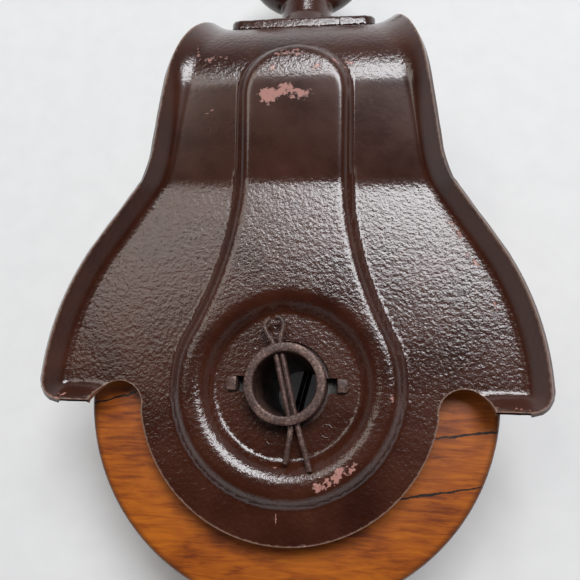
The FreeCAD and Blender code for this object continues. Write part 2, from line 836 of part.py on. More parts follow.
def upright(kind, name, across="0", along="0", **sizes):
    """Part primitive whose axis runs along the block, towards the eye."""
    item = primitive(kind, name, **sizes)
    turned(item, ACROSS, -90)
    bind(item, Placement__Base__x=across, Placement__Base__y=along)
    return item


def crown_cylinder(name, radius):
    """Cylinder about the crown's centre line, right across the foot."""
    item = primitive("Cylinder", name, Radius=radius, Height="4 * sheet.foot_ear_offset")
    turned(item, ALONG, 90)
    bind(item, Placement__Base__x="-2 * sheet.foot_ear_offset", Placement__Base__y="sheet.crown_centre")
    return item


def foot_rivet_tools(prefix, across):
    """Shank and countersunk head of one foot rivet."""
    head_seat = "sqrt((sheet.crown_radius + sheet.foot_thickness)^2 - sheet.foot_rivet_head_radius^2)"
    head_along = f"sheet.crown_centre + {head_seat} - sheet.foot_rivet_head_height"
    foot_level = "sheet.crown_centre + sqrt((sheet.crown_radius - sheet.sheet_thickness)^2"
    foot_level += " - sheet.foot_rivet_head_radius^2)"
    shank = upright(
        "Cylinder",
        f"{prefix}Shank",
        across=across,
        along=foot_level,
        Radius="sheet.foot_rivet_radius",
        Height=f"({head_along}) - ({foot_level})",
    )
    head = upright(
        "Cone",
        f"{prefix}Head",
        across=across,
        along=head_along,
        Radius1="sheet.foot_rivet_radius",
        Radius2="sheet.foot_rivet_head_radius",
        Height="sheet.foot_rivet_head_height",
    )
    return shank, head, foot_level


def build_foot():
    """Cast foot that saddles the crown, with two riveted ears and a boss for the eye."""
    blank_height = "sheet.crown_radius + sheet.foot_thickness"
    outline = [
        upright(
            "Cylinder",
            "FootCentre",
            along="sheet.crown_centre",
            Radius="sheet.foot_centre_radius",
            Height=blank_height,
        )
    ]
    ear_sides = {"Left": "-sheet.foot_ear_offset", "Right": "sheet.foot_ear_offset"}
    for hand, across in ear_sides.items():
        outline.append(
            upright(
                "Cylinder",
                f"FootEar{hand}",
                across=across,
                along="sheet.crown_centre",
                Radius="sheet.foot_ear_radius",
                Height=blank_height,
            )
        )
    bar = primitive(
        "Box",
        "FootBar",
        Length="2 * sheet.foot_ear_offset",
        Width=blank_height,
        Height="2 * sheet.foot_ear_radius",
        Placement__Base__x="-sheet.foot_ear_offset",
        Placement__Base__y="sheet.crown_centre",
        Placement__Base__z="-sheet.foot_ear_radius",
    )
    outline.append(bar)
    slab = crown_cylinder("FootTop", "sheet.crown_radius + sheet.foot_thickness")
    foot = common("FootSlab", fuse("FootOutline", outline), slab)
    boss = upright(
        "Cylinder",
        "Boss",
        along="sheet.crown_centre",
        Radius="sheet.boss_radius",
        Height="sheet.boss_top - sheet.crown_centre",
    )
    flare = upright(
        "Cone",
        "BossFlare",
        along="sheet.crown_top + sheet.foot_thickness / 2",
        Radius1="sheet.boss_radius + sheet.boss_flare",
        Radius2="sheet.boss_radius",
        Height="sheet.boss_flare",
    )
    tools = [crown_cylinder("CrownSeat", "sheet.crown_radius")]
    tools.append(
        upright(
            "Cylinder",
            "BossBore",
            along="sheet.crown_centre",
            Radius="sheet.shank_radius + sheet.running_gap",
            Height="sheet.boss_top - sheet.crown_centre",
        )
    )
    for hand, across in ear_sides.items():
        shank, head, _ = foot_rivet_tools(f"FootHole{hand}", across)
        tools.extend([shank, head])
    solid = fuse("FootSolid", [foot, boss, flare])
    node("swivel_base", cut("SwivelBase", solid, fuse("FootTools", tools)))

    for hand, across in ear_sides.items():
        shank, head, foot_level = foot_rivet_tools(f"FootRivet{hand}", across)
        button = upright(
            "Cylinder",
            f"FootRivet{hand}Button",
            across=across,
            along=f"{foot_level} - sheet.foot_rivet_head_height",
            Radius="sheet.foot_rivet_head_radius",
            Height="sheet.foot_rivet_head_height",
        )
        node(f"base_rivet_{hand.lower()}", fuse(f"FootRivet{hand}", [shank, head, button]))


def build_eye():
    """Forged eye with a shank, and the washer and nut that hold it under the crown."""
    washer_top = "(sheet.crown_centre + sqrt((sheet.crown_radius - sheet.sheet_thickness)^2"
    washer_top += " - sheet.swivel_washer_radius^2) - sheet.end_gap)"
    nut_top = f"({washer_top} - sheet.swivel_washer_thickness)"
    shank_foot = f"({nut_top} - sheet.swivel_nut_height - sheet.shank_tail)"

    ring = primitive(
        "Torus",
        "EyeRing",
        Radius1="sheet.eye_ring_radius",
        Radius2="sheet.eye_section_radius",
        Placement__Base__y="sheet.eye_centre",
    )
    collar_foot = "(sheet.boss_top + sheet.end_gap)"
    collar = upright(
        "Cylinder",
        "EyeCollar",
        along=collar_foot,
        Radius="sheet.boss_radius",
        Height="sheet.eye_collar_height",
    )
    collar_slope = upright(
        "Cone",
        "EyeCollarSlope",
        along=f"{collar_foot} + sheet.eye_collar_height",
        Radius1="sheet.boss_radius",
        Radius2="sheet.eye_section_radius",
        Height="sheet.eye_section_radius",
    )
    shank = upright(
        "Cylinder",
        "EyeShank",
        along=shank_foot,
        Radius="sheet.shank_radius",
        Height=f"{collar_foot} + sheet.end_gap - {shank_foot}",
    )
    hole = primitive(
        "Cylinder",
        "EyeHole",
        Radius="sheet.eye_hole_radius",
        Height="4 * sheet.eye_section_radius",
        Placement__Base__y="sheet.eye_centre",
        Placement__Base__z="-2 * sheet.eye_section_radius",
    )
    node("swivel_eye", cut("SwivelEye", fuse("EyeSolid", [ring, collar, collar_slope, shank]), hole))

    disc = upright(
        "Cylinder",
        "SwivelDisc",
        along=nut_top,
        Radius="sheet.swivel_washer_radius",
        Height="sheet.swivel_washer_thickness",
    )
    disc_bore = upright(
        "Cylinder",
        "SwivelDiscBore",
        along=nut_top,
        Radius="sheet.shank_radius + sheet.seat_gap",
        Height="sheet.swivel_washer_thickness",
    )
    node("swivel_washer", cut("SwivelWasher", disc, disc_bore))

    nut_foot = f"{nut_top} - sheet.swivel_nut_height"
    nut = upright(
        "Prism",
        "NutBlank",
        along=nut_foot,
        Circumradius="sheet.swivel_nut_radius",
        Height="sheet.swivel_nut_height",
    )
    nut.Polygon = 6
    nut_bore = upright(
        "Cylinder",
        "NutBore",
        along=nut_foot,
        Radius="sheet.shank_radius",
        Height="sheet.swivel_nut_height",
    )
    node("swivel_nut", cut("SwivelNut", nut, nut_bore))


# ---------------------------------------------------------------- check and export


def check_document():
    """Stop if any object of the document failed to build."""
    for item in doc.Objects:
        if "Invalid" in item.State or "Error" in item.State:
            raise RuntimeError(f"{item.Label} failed to build: {item.State}")
    for name, item in nodes.items():
        if item.Shape.isNull() or not item.Shape.isValid():
            raise RuntimeError(f"{name} has no valid shape")


def export_nodes():
    """Write each piece to its own file."""
    os.makedirs("parts", exist_ok=True)
    for name, item in nodes.items():
        item.Shape.exportStep(f"parts/{name}.step")


fill_sheet()
build_wheel()
build_hub()
build_axle()
build_thrust_washers()
build_cotter_pins()
build_bearing_plates()
build_shell()
build_foot()
build_eye()
doc.recompute()
check_document()
export_nodes()
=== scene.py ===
import json
import logging
import math
from collections.abc import Callable, Sequence
from dataclasses import dataclass, field
from enum import Enum

import bpy
from mathutils import Matrix, Vector
from mathutils.kdtree import KDTree

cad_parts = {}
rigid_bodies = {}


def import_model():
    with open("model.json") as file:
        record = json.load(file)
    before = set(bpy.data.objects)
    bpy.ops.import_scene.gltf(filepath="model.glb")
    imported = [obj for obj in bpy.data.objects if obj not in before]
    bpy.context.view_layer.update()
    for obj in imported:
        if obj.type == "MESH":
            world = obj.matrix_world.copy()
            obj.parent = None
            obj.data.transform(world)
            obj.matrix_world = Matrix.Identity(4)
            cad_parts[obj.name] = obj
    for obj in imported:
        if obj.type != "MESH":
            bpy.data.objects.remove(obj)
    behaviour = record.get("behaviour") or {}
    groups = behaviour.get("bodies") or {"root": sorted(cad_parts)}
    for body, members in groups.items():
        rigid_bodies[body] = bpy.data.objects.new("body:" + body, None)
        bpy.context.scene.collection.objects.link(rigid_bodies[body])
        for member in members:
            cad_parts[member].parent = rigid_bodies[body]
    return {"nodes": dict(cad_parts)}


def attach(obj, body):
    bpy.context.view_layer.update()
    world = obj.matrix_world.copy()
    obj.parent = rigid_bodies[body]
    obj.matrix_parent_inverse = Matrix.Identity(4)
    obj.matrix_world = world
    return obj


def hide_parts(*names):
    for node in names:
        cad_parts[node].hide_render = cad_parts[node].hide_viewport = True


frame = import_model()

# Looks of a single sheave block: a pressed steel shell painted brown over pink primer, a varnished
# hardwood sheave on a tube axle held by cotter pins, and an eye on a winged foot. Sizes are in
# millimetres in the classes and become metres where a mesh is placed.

log = logging.getLogger("sheave_block")

MM = 0.001
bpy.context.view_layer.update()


class Side(Enum):
    """Which face of the block a part belongs to, as the sign of its level along the axle."""

    FRONT = 1
    REAR = -1


class Body(Enum):
    """The bodies that the pieces ride on."""

    FRAME = "frame"
    AXLE = "axle"
    SHEAVE = "sheave"
    SWIVEL = "swivel"


class Slot(Enum):
    """The record's material slots."""

    ENAMEL = "brown_enamel"
    RUBBED = "rubbed_paint"
    STEEL = "plain_steel"
    WOOD = "varnished_wood"


@dataclass(frozen=True)
class BlockFrame:
    """Place of the axle in the shared frame.

    The block's own axes are across (x), along (from the axle to the eye) and up (along the axle).
    """

    axle_along: float = -79.9
    axle_up: float = 44.0

    def place(self, across: float, along: float, up: float) -> Vector:
        """Turn a point measured from the axle, in millimetres, to the shared frame in metres."""
        return Vector((across, along + self.axle_along, up + self.axle_up)) * MM


BLOCK = BlockFrame()


# ---------------------------------------------------------------- small tools


def linear(colour: str) -> tuple[float, float, float, float]:
    """Turn an sRGB hex colour to linear light.

    Args:
        colour: Six hex digits with a leading hash.

    Returns:
        Red, green, blue and an alpha of one.
    """
    parts = [int(colour[start : start + 2], 16) / 255 for start in (1, 3, 5)]
    values = [part / 12.92 if part <= 0.04045 else ((part + 0.055) / 1.055) ** 2.4 for part in parts]
    return values[0], values[1], values[2], 1.0


def add_node(
    tree: bpy.types.NodeTree, kind: str, values: dict | None = None, links: dict | None = None,
    stops: Sequence[tuple[float, str | float]] = (), **settings: object,
) -> bpy.types.Node:
    """Add one node with its settings, values, colour stops and links.

    Args:
        tree: The node tree it joins.
        kind: The node's Blender type.
        values: Default values by input name or number.
        links: Output sockets to join to inputs, by input name or number.
        stops: Positions and colours or grey levels of a ramp.
        settings: The node's own properties.

    Returns:
        The new node.
    """
    node = tree.nodes.new(kind)
    for name, value in settings.items():
        setattr(node, name, value)
    for name, value in (values or {}).items():
        node.inputs[name].default_value = value
    for name, source in (links or {}).items():
        tree.links.new(source, node.inputs[name])
    for number, (position, tone) in enumerate(stops):
        elements = node.color_ramp.elements
        stop = elements[number] if number < 2 else elements.new(position)
        stop.position = position
        stop.color = linear(tone) if isinstance(tone, str) else (tone, tone, tone, 1.0)
    return node


def new_material(name: str) -> tuple[bpy.types.Material, bpy.types.NodeTree, bpy.types.Node]:
    """Make an empty node material.

    Args:
        name: The material's name.

    Returns:
        The material, its tree and its Principled shader.
    """
    material = bpy.data.materials.new(name)
    material.use_nodes = True
    tree = material.node_tree
    return material, tree, tree.nodes["Principled BSDF"]


def clear_selection() -> None:
    """Deselect every object."""
    for item in bpy.context.view_layer.objects:
        item.select_set(False)


def select_only(item: bpy.types.Object) -> None:
    """Select one object and make it the active one."""
    clear_selection()
    item.select_set(True)
    bpy.context.view_layer.objects.active = item


def newest(name: str) -> bpy.types.Object:
    """Name the primitive that was just added, with its place taken into its mesh.

    Args:
        name: The object's name.

    Returns:
        The object, at the origin.
    """
    item = bpy.context.active_object
    select_only(item)
    bpy.ops.object.transform_apply(location=True, rotation=True, scale=True)
    item.name = name
    item.data.name = name
    return item


def apply_modifier(item: bpy.types.Object, kind: str, **settings: object) -> None:
    """Add a modifier with its settings and apply it.

    Args:
        item: The object that it changes.
        kind: The modifier's Blender type.
        settings: The modifier's own properties.
    """
    select_only(item)
    modifier = item.modifiers.new(kind.title(), kind)
    for name, value in settings.items():
        setattr(modifier, name, value)
    bpy.ops.object.modifier_apply(modifier=modifier.name)


def cut_away(item: bpy.types.Object, *tools: bpy.types.Object) -> None:
    """Take each tool out of an object and remove the tool."""
    for tool in tools:
        apply_modifier(item, "BOOLEAN", object=tool, operation="DIFFERENCE", solver="EXACT")
        bpy.data.objects.remove(tool)


def join(name: str, items: Sequence[bpy.types.Object]) -> bpy.types.Object:
    """Join several objects into one mesh.

    Args:
        name: The joined object's name.
        items: The objects; the first one takes in the others.

    Returns:
        The joined object.
    """
    select_only(items[0])
    for item in items:
        item.select_set(True)
    bpy.ops.object.join()
    return newest(name)


def edit(item: bpy.types.Object, *steps: Callable[[], object]) -> None:
    """Run edit-mode operators on the whole of a mesh.

    Args:
        item: The object to edit.
        steps: Operators, called in order with everything selected.
    """
    select_only(item)
    bpy.ops.object.mode_set(mode="EDIT")
    bpy.ops.mesh.select_all(action="SELECT")
    for step in steps:
        step()
    bpy.ops.object.mode_set(mode="OBJECT")


def smooth(item: bpy.types.Object, degrees: float = 40.0) -> None:
    """Shade an object smooth except over edges sharper than an angle."""
    select_only(item)
    bpy.ops.object.shade_smooth_by_angle(angle=math.radians(degrees))


def rod(
    name: str,
    radius: float,
    length: float,
    centre: Vector,
    turn: tuple[float, float, float] = (0.0, 0.0, 0.0),
    sides: int = 64,
) -> bpy.types.Object:
    """Add a cylinder.

    Args:
        name: The object's name.
        radius: Radius in millimetres.
        length: Length in millimetres.
        centre: Middle, in metres in the shared frame.
        turn: Turn about x, y and z in degrees.
        sides: Number of flat sides.

    Returns:
        The cylinder.
    """
    clear_selection()
    bpy.ops.mesh.primitive_cylinder_add(
        vertices=sides,
        radius=radius * MM,
        depth=length * MM,
        location=centre,
        rotation=[math.radians(angle) for angle in turn],
    )
    return newest(name)


def turned(name: str, profile: Sequence[tuple[float, float]], steps: int) -> bpy.types.Object:
    """Spin a closed profile about the axle.

    Args:
        name: The object's name.
        profile: Radius and level of each corner, in millimetres from the axle's middle.
        steps: Number of steps round the full turn.

    Returns:
        The turned solid, with its faces outwards.
    """
    clear_selection()
    bpy.ops.mesh.primitive_circle_add(vertices=len(profile), radius=1.0)
    item = newest(name)
    for vertex, (radius, level) in zip(item.data.vertices, profile):
        vertex.co = BLOCK.place(radius, 0.0, level)
    edit(
        item,
        lambda: bpy.ops.mesh.spin(
            steps=steps, angle=2 * math.pi, center=BLOCK.place(0, 0, 0), axis=(0, 0, 1)
        ),
        lambda: bpy.ops.mesh.select_all(action="SELECT"),
        lambda: bpy.ops.mesh.remove_doubles(threshold=0.002 * MM),
        lambda: bpy.ops.mesh.normals_make_consistent(inside=False),
    )
    return item


def arc(
    centre: tuple[float, float], radius: float, first: float, last: float, steps: int
) -> list[tuple[float, float]]:
    """Points along an arc of a profile.

    Args:
        centre: Centre of the arc.
        radius: Radius of the arc.
        first: Angle of the first point, in degrees.
        last: Angle of the last point, in degrees.
        steps: Number of steps between them.

    Returns:
        The points, both ends included.
    """
    angles = [math.radians(first + (last - first) * step / steps) for step in range(steps + 1)]
    return [(centre[0] + radius * math.cos(a), centre[1] + radius * math.sin(a)) for a in angles]


def smoothstep(value: float) -> float:
    """Rise from 0 to 1 with level ends."""
    held = min(1.0, max(0.0, value))
    return held * held * (3 - 2 * held)


def rounded_step(value: float) -> float:
    """Rise from 0 to 1 with a crisp foot and a rounded top."""
    held = min(1.0, max(0.0, value))
    return 1 - (1 - held) ** 2.2


def paint_attribute(item: bpy.types.Object, name: str, measure: Callable[[Vector], float]) -> None:
    """Store a number on every vertex of an object for its material to read.

    Args:
        item: The object.
        name: The attribute's name.
        measure: The number at a place, in metres in the shared frame.
    """
    values = [measure(vertex.co) for vertex in item.data.vertices]
    attribute = item.data.attributes.new(name, "FLOAT", "POINT")
    attribute.data.foreach_set("value", values)


def finish_piece(
    item: bpy.types.Object,
    material: bpy.types.Material,
    body: Body,
    replaces: Sequence[str] = (),
) -> bpy.types.Object:
    """Dress a piece, set what it rides on and what it stands for, and report it.

    Args:
        item: The piece.
        material: Its material.
        body: The body it moves with.
        replaces: CAD nodes that it stands for.

    Returns:
        The piece.
    """
    item.data.materials.clear()
    item.data.materials.append(material)
    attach(item, body.value)
    if replaces:
        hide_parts(*replaces)
    log.info("%s: %d faces, rides %s", item.name, len(item.data.polygons), body.value)
    return item


# ---------------------------------------------------------------- finishes


@dataclass(frozen=True)
class BrushedEnamel:
    """Brown oil enamel brushed over pink primer on pressed steel.

    Brushing leaves a fine granular skin that breaks the shine up on flat faces. Where it was knocked
    the paint has come off down to the primer, and along cut edges it has worn thin.
    """

    name: str = "brushed_brown_enamel_on_steel"
    light: str = "#482416"
    middle: str = "#3e1d11"
    deep: str = "#31150b"
    primer: str = "#b27c70"
    worn: str = "#8f7263"
    grain_size: float = 1.5
    patch_size: float = 22.0
    chip_size: float = 1.8
    roughness: tuple[float, float] = (0.19, 0.26)
    grain_height: float = 0.2
    varnish: float = 0.5
    varnish_roughness: float = 0.1
    oil_index: float = 1.5
    chip_edge: tuple[float, float] = (1.02, 1.06)
    chip_dullness: float = 0.3
    chip_depth: float = 0.5
    worn_edge: tuple[float, float] = (0.98, 1.35)
    worn_strength: float = 0.8

    def material(self) -> bpy.types.Material:
        """Build the paint: tone patches, grain, chips to the primer and worn edges."""
        material, tree, shader = new_material(self.name)
        place = add_node(tree, "ShaderNodeTexCoord").outputs["Object"]
        chip = add_node(tree, "ShaderNodeAttribute", attribute_name="chip").outputs["Fac"]
        edge = add_node(tree, "ShaderNodeAttribute", attribute_name="edge").outputs["Fac"]
        coarse = add_node(tree, "ShaderNodeAttribute", attribute_name="coarse").outputs["Fac"]
        patches = add_node(
            tree, "ShaderNodeTexNoise",
            {"Scale": 1 / (self.patch_size * MM), "Detail": 6.0, "Roughness": 0.6}, {"Vector": place},
        )
        grain = add_node(
            tree, "ShaderNodeTexNoise",
            {"Scale": 1 / (self.grain_size * MM), "Detail": 2.5, "Roughness": 0.6}, {"Vector": place},
        )
        specks = add_node(
            tree, "ShaderNodeTexNoise",
            {"Scale": 1 / (self.chip_size * MM), "Detail": 5.0, "Roughness": 0.65}, {"Vector": place},
        )
        tones = add_node(
            tree, "ShaderNodeValToRGB", links={"Fac": patches.outputs["Fac"]},
            stops=((0.32, self.deep), (0.68, self.light), (0.5, self.middle)),
        )
        chipped = add_node(
            tree, "ShaderNodeMath", links={0: chip, 1: specks.outputs["Fac"]}, operation="ADD",
        )
        chip_mask = add_node(
            tree, "ShaderNodeMapRange", {"From Min": self.chip_edge[0], "From Max": self.chip_edge[1]},
            {"Value": chipped.outputs["Value"]},
        )
        rubbed = add_node(
            tree, "ShaderNodeMath", links={0: edge, 1: specks.outputs["Fac"]}, operation="ADD",
        )
        worn_mask = add_node(
            tree, "ShaderNodeMapRange",
            {"From Min": self.worn_edge[0], "From Max": self.worn_edge[1], "To Max": self.worn_strength},
            {"Value": rubbed.outputs["Value"]},
        )
        worn = add_node(
            tree, "ShaderNodeMix", {7: linear(self.worn)},
            {0: worn_mask.outputs["Result"], 6: tones.outputs["Color"]}, data_type="RGBA",
        )
        colour = add_node(
            tree, "ShaderNodeMix", {7: linear(self.primer)},
            {0: chip_mask.outputs["Result"], 6: worn.outputs[2]}, data_type="RGBA",
        )
        gloss = add_node(
            tree, "ShaderNodeMapRange",
            {"From Min": 0.3, "From Max": 0.7, "To Min": self.roughness[0], "To Max": self.roughness[1]},
            {"Value": patches.outputs["Fac"]},
        )
        dull = add_node(
            tree, "ShaderNodeMath", {1: self.chip_dullness},
            {0: chip_mask.outputs["Result"], 2: gloss.outputs["Result"]}, operation="MULTIPLY_ADD",
        )
        pitted = add_node(
            tree, "ShaderNodeMath", {1: -self.chip_depth},
            {0: chip_mask.outputs["Result"], 2: grain.outputs["Fac"]}, operation="MULTIPLY_ADD",
        )
        bump = add_node(
            tree, "ShaderNodeBump", {"Distance": self.grain_height * MM},
            {"Height": pitted.outputs["Value"], "Strength": coarse},
        )
        tree.links.new(colour.outputs[2], shader.inputs["Base Color"])
        tree.links.new(dull.outputs["Value"], shader.inputs["Roughness"])
        tree.links.new(bump.outputs["Normal"], shader.inputs["Normal"])
        tree.links.new(bump.outputs["Normal"], shader.inputs["Coat Normal"])
        shader.inputs["IOR"].default_value = self.oil_index
        shader.inputs["Coat Weight"].default_value = self.varnish
        shader.inputs["Coat Roughness"].default_value = self.varnish_roughness
        return material


@dataclass(frozen=True)
class SpeckledSteel:
    """Steel hardware whose paint has rubbed thin, or that was never painted.

    Bare metal shows through in specks, so the surface is mottled between dull paint or scale and
    soft metal shine.
    """

    name: str
    scale: str
    middle: str
    bare: str
    speck_size: float = 0.8
    roughness: float = 0.45
    bareness: float = 0.35
    ridge_height: float = 0.06
    cloud_size: float = 9.0
    bare_edge: tuple[float, float] = (0.7, 0.95)
    gloss_swing: float = 0.12

    def material(self) -> bpy.types.Material:
        """Build the mottle, with metal in the bare specks and paint or scale between them."""
        material, tree, shader = new_material(self.name)
        place = add_node(tree, "ShaderNodeTexCoord").outputs["Object"]
        specks = add_node(
            tree, "ShaderNodeTexNoise",
            {"Scale": 1 / (self.speck_size * MM), "Detail": 4.0, "Roughness": 0.7}, {"Vector": place},
        )
        clouds = add_node(
            tree, "ShaderNodeTexNoise",
            {"Scale": 1 / (self.cloud_size * self.speck_size * MM), "Detail": 3.0},
            {"Vector": place},
        )
        mottle = add_node(
            tree, "ShaderNodeMath", {1: 0.5}, {0: clouds.outputs["Fac"], 2: specks.outputs["Fac"]},
            operation="MULTIPLY_ADD",
        )
        tones = add_node(
            tree, "ShaderNodeValToRGB", links={"Fac": mottle.outputs["Value"]},
            stops=((0.55, self.scale), (0.95, self.bare), (0.74, self.middle)),
        )
        metal = add_node(
            tree, "ShaderNodeMapRange",
            {"From Min": self.bare_edge[0], "From Max": self.bare_edge[1], "To Max": self.bareness},
            {"Value": mottle.outputs["Value"]},
        )
        gloss = add_node(
            tree, "ShaderNodeMapRange",
            {"To Min": self.roughness + self.gloss_swing, "To Max": self.roughness - self.gloss_swing},
            {"Value": specks.outputs["Fac"]},
        )
        bump = add_node(
            tree, "ShaderNodeBump", {"Strength": 1.0, "Distance": self.ridge_height * MM},
            {"Height": specks.outputs["Fac"]},
        )
        tree.links.new(tones.outputs["Color"], shader.inputs["Base Color"])
        tree.links.new(metal.outputs["Result"], shader.inputs["Metallic"])
        tree.links.new(gloss.outputs["Result"], shader.inputs["Roughness"])
        tree.links.new(bump.outputs["Normal"], shader.inputs["Normal"])
        return material


@dataclass(frozen=True)
class GrainCheck:
    """A narrow drying crack in the wood, in millimetres from the axle."""

    start: tuple[float, float]
    end: tuple[float, float]
    width: float = 0.35


@dataclass(frozen=True)
class VarnishedWood:
    """Close-grained hardwood, turned and varnished to an orange brown.

    The grain runs across the wheel in streaks; the varnish gives an even warm shine over it. Dark
    drying checks follow the grain, and painted shade darkens the rounded rim.
    """

    name: str = "varnished_hardwood"
    light: str = "#bd6712"
    middle: str = "#a0500c"
    dark: str = "#743208"
    # Near-black of the checks, also used for the painted shade along the rounded rim.
    crack: str = "#1d0d06"
    streak: float = 1.7
    stretch: float = 8.0
    pore: float = 0.5
    rim: float = 75.2
    checks: tuple[GrainCheck, ...] = (
        GrainCheck((-78.0, -9.2), (-54.0, -2.2), 0.4),
        GrainCheck((50.0, -17.0), (78.0, -13.4), 0.35),
        GrainCheck((36.0, -38.4), (70.0, -32.4), 0.3),
    )

    def material(self) -> bpy.types.Material:
        """Build the grain, pores, checks and painted shade on the rounded rim under a clear coat."""
        material, tree, shader = new_material(self.name)
        place = add_node(tree, "ShaderNodeTexCoord").outputs["Object"]
        centred = add_node(
            tree, "ShaderNodeMapping", {"Location": (0.0, -BLOCK.axle_along * MM, -BLOCK.axle_up * MM)},
            {"Vector": place},
        ).outputs["Vector"]
        along_grain = add_node(
            tree, "ShaderNodeMapping",
            {"Scale": (1 / self.stretch, 1.0, 1.0), "Rotation": (0.0, 0.0, math.radians(-5))},
            {"Vector": centred},
        ).outputs["Vector"]
        streaks = add_node(
            tree, "ShaderNodeTexNoise",
            {"Scale": 1 / (self.streak * MM), "Detail": 8.0, "Roughness": 0.62, "Distortion": 0.6},
            {"Vector": along_grain},
        )
        pores = add_node(
            tree, "ShaderNodeTexNoise", {"Scale": 1 / (self.pore * MM), "Detail": 2.0},
            {"Vector": along_grain},
        )
        clouds = add_node(
            tree, "ShaderNodeTexNoise", {"Scale": 1 / (16 * MM), "Detail": 3.0}, {"Vector": centred},
        )
        blended = add_node(
            tree, "ShaderNodeMath", {1: 0.6}, {0: clouds.outputs["Fac"], 2: streaks.outputs["Fac"]},
            operation="MULTIPLY_ADD",
        )
        tones = add_node(
            tree, "ShaderNodeValToRGB", links={"Fac": blended.outputs["Value"]},
            stops=((0.58, self.dark), (0.98, self.light), (0.76, self.middle)),
        )
        axes = add_node(tree, "ShaderNodeSeparateXYZ", links={"Vector": centred})
        wander = add_node(
            tree, "ShaderNodeTexNoise", {"Scale": 1 / (5 * MM), "Detail": 4.0}, {"Vector": centred},
        )
        crack_mask = self.crack_mask(tree, axes, wander)
        flat = add_node(
            tree, "ShaderNodeCombineXYZ", links={"X": axes.outputs["X"], "Y": axes.outputs["Y"]},
        )
        reach = add_node(
            tree, "ShaderNodeVectorMath", links={0: flat.outputs["Vector"]}, operation="LENGTH",
        )
        # Painted shade: the wood darkens towards the rounded rim, up to three quarters of the way to the
        # crack colour.
        painted_rim_shade = add_node(
            tree, "ShaderNodeMapRange",
            {"From Min": (self.rim - 1.6) * MM, "From Max": (self.rim + 0.6) * MM, "To Max": 0.75},
            {"Value": reach.outputs["Value"]},
        )
        cracks_and_painted_rim_shade = add_node(
            tree, "ShaderNodeMath", links={0: painted_rim_shade.outputs["Result"], 1: crack_mask},
            operation="MAXIMUM",
        )
        # The checks and the painted rim shade both mix in the crack colour.
        colour = add_node(
            tree, "ShaderNodeMix", {7: linear(self.crack)},
            {0: cracks_and_painted_rim_shade.outputs["Value"], 6: tones.outputs["Color"]}, data_type="RGBA",
        )
        sunk = add_node(
            tree, "ShaderNodeMath", {1: -2.0}, {0: crack_mask, 2: pores.outputs["Fac"]},
            operation="MULTIPLY_ADD",
        )
        bump = add_node(
            tree, "ShaderNodeBump", {"Strength": 0.6, "Distance": 0.05 * MM},
            {"Height": sunk.outputs["Value"]},
        )
        tree.links.new(colour.outputs[2], shader.inputs["Base Color"])
        tree.links.new(bump.outputs["Normal"], shader.inputs["Normal"])
        shader.inputs["Roughness"].default_value = 0.42
        shader.inputs["Coat Weight"].default_value = 0.35
        shader.inputs["Coat Roughness"].default_value = 0.25
        return material

    def crack_mask(
        self, tree: bpy.types.NodeTree, axes: bpy.types.Node, wander: bpy.types.Node
    ) -> bpy.types.NodeSocket:
        """Mark the drying checks.

        Args:
            tree: The material's tree.
            axes: Node that gives across and along.
            wander: Noise that makes the checks waver.

        Returns:
            The mask, 1 in a check.
        """
        mask = None
        for check in self.checks:
            (x0, y0), (x1, y1) = check.start, check.end
            slope = (y1 - y0) / (x1 - x0)
            line = add_node(
                tree, "ShaderNodeMath", {1: -slope}, {0: axes.outputs["X"], 2: axes.outputs["Y"]},
                operation="MULTIPLY_ADD",
            )
            wavered = add_node(
                tree, "ShaderNodeMath", {1: 3.0 * MM},
                {0: wander.outputs["Fac"], 2: line.outputs["Value"]}, operation="MULTIPLY_ADD",
            )
            level = (y0 - slope * x0 + 1.5) * MM
            near = add_node(
                tree, "ShaderNodeMath", {1: level, 2: check.width * MM}, {0: wavered.outputs["Value"]},
                operation="COMPARE",
            )
            inside = add_node(
                tree, "ShaderNodeMath", {1: (x0 + x1) / 2 * MM, 2: (x1 - x0) / 2 * MM},
                {0: axes.outputs["X"]}, operation="COMPARE",
            )
            both = add_node(
                tree, "ShaderNodeMath", links={0: near.outputs["Value"], 1: inside.outputs["Value"]},
                operation="MULTIPLY",
            )
            links = {0: both.outputs["Value"]}
            if mask is not None:
                links[1] = mask
            mask = add_node(tree, "ShaderNodeMath", {1: 0.0}, links, operation="MAXIMUM").outputs[0]
        return mask


RUBBED_PAINT = SpeckledSteel("rubbed_brown_paint_on_steel", "#2c1a14", "#493029", "#8d7268")
MILL_STEEL = SpeckledSteel(
    "oiled_mill_steel", "#1f1c1a", "#3a3532", "#757170", roughness=0.4, bareness=0.8
)


# ---------------------------------------------------------------- pressed shell


@dataclass(frozen=True)
class PaintChip:
    """A patch where the paint has come off, in millimetres in the shared frame.

    Its half sizes are across and along before it is turned, and its strength is how nearly bare it is.
    """

    across: float
    along: float
    half_across: float
    half_along: float
    turn: float
    strength: float

    def bareness(self, across: float, along: float) -> float:
        """How bare the patch leaves a place, falling off smoothly from its middle."""
        turn = math.radians(self.turn)
        x, y = across - self.across, along - self.along
        forward = (x * math.cos(turn) + y * math.sin(turn)) / self.half_across
        sideways = (y * math.cos(turn) - x * math.sin(turn)) / self.half_along
        return self.strength * math.exp(-((forward**2 + sideways**2) ** 1.5))


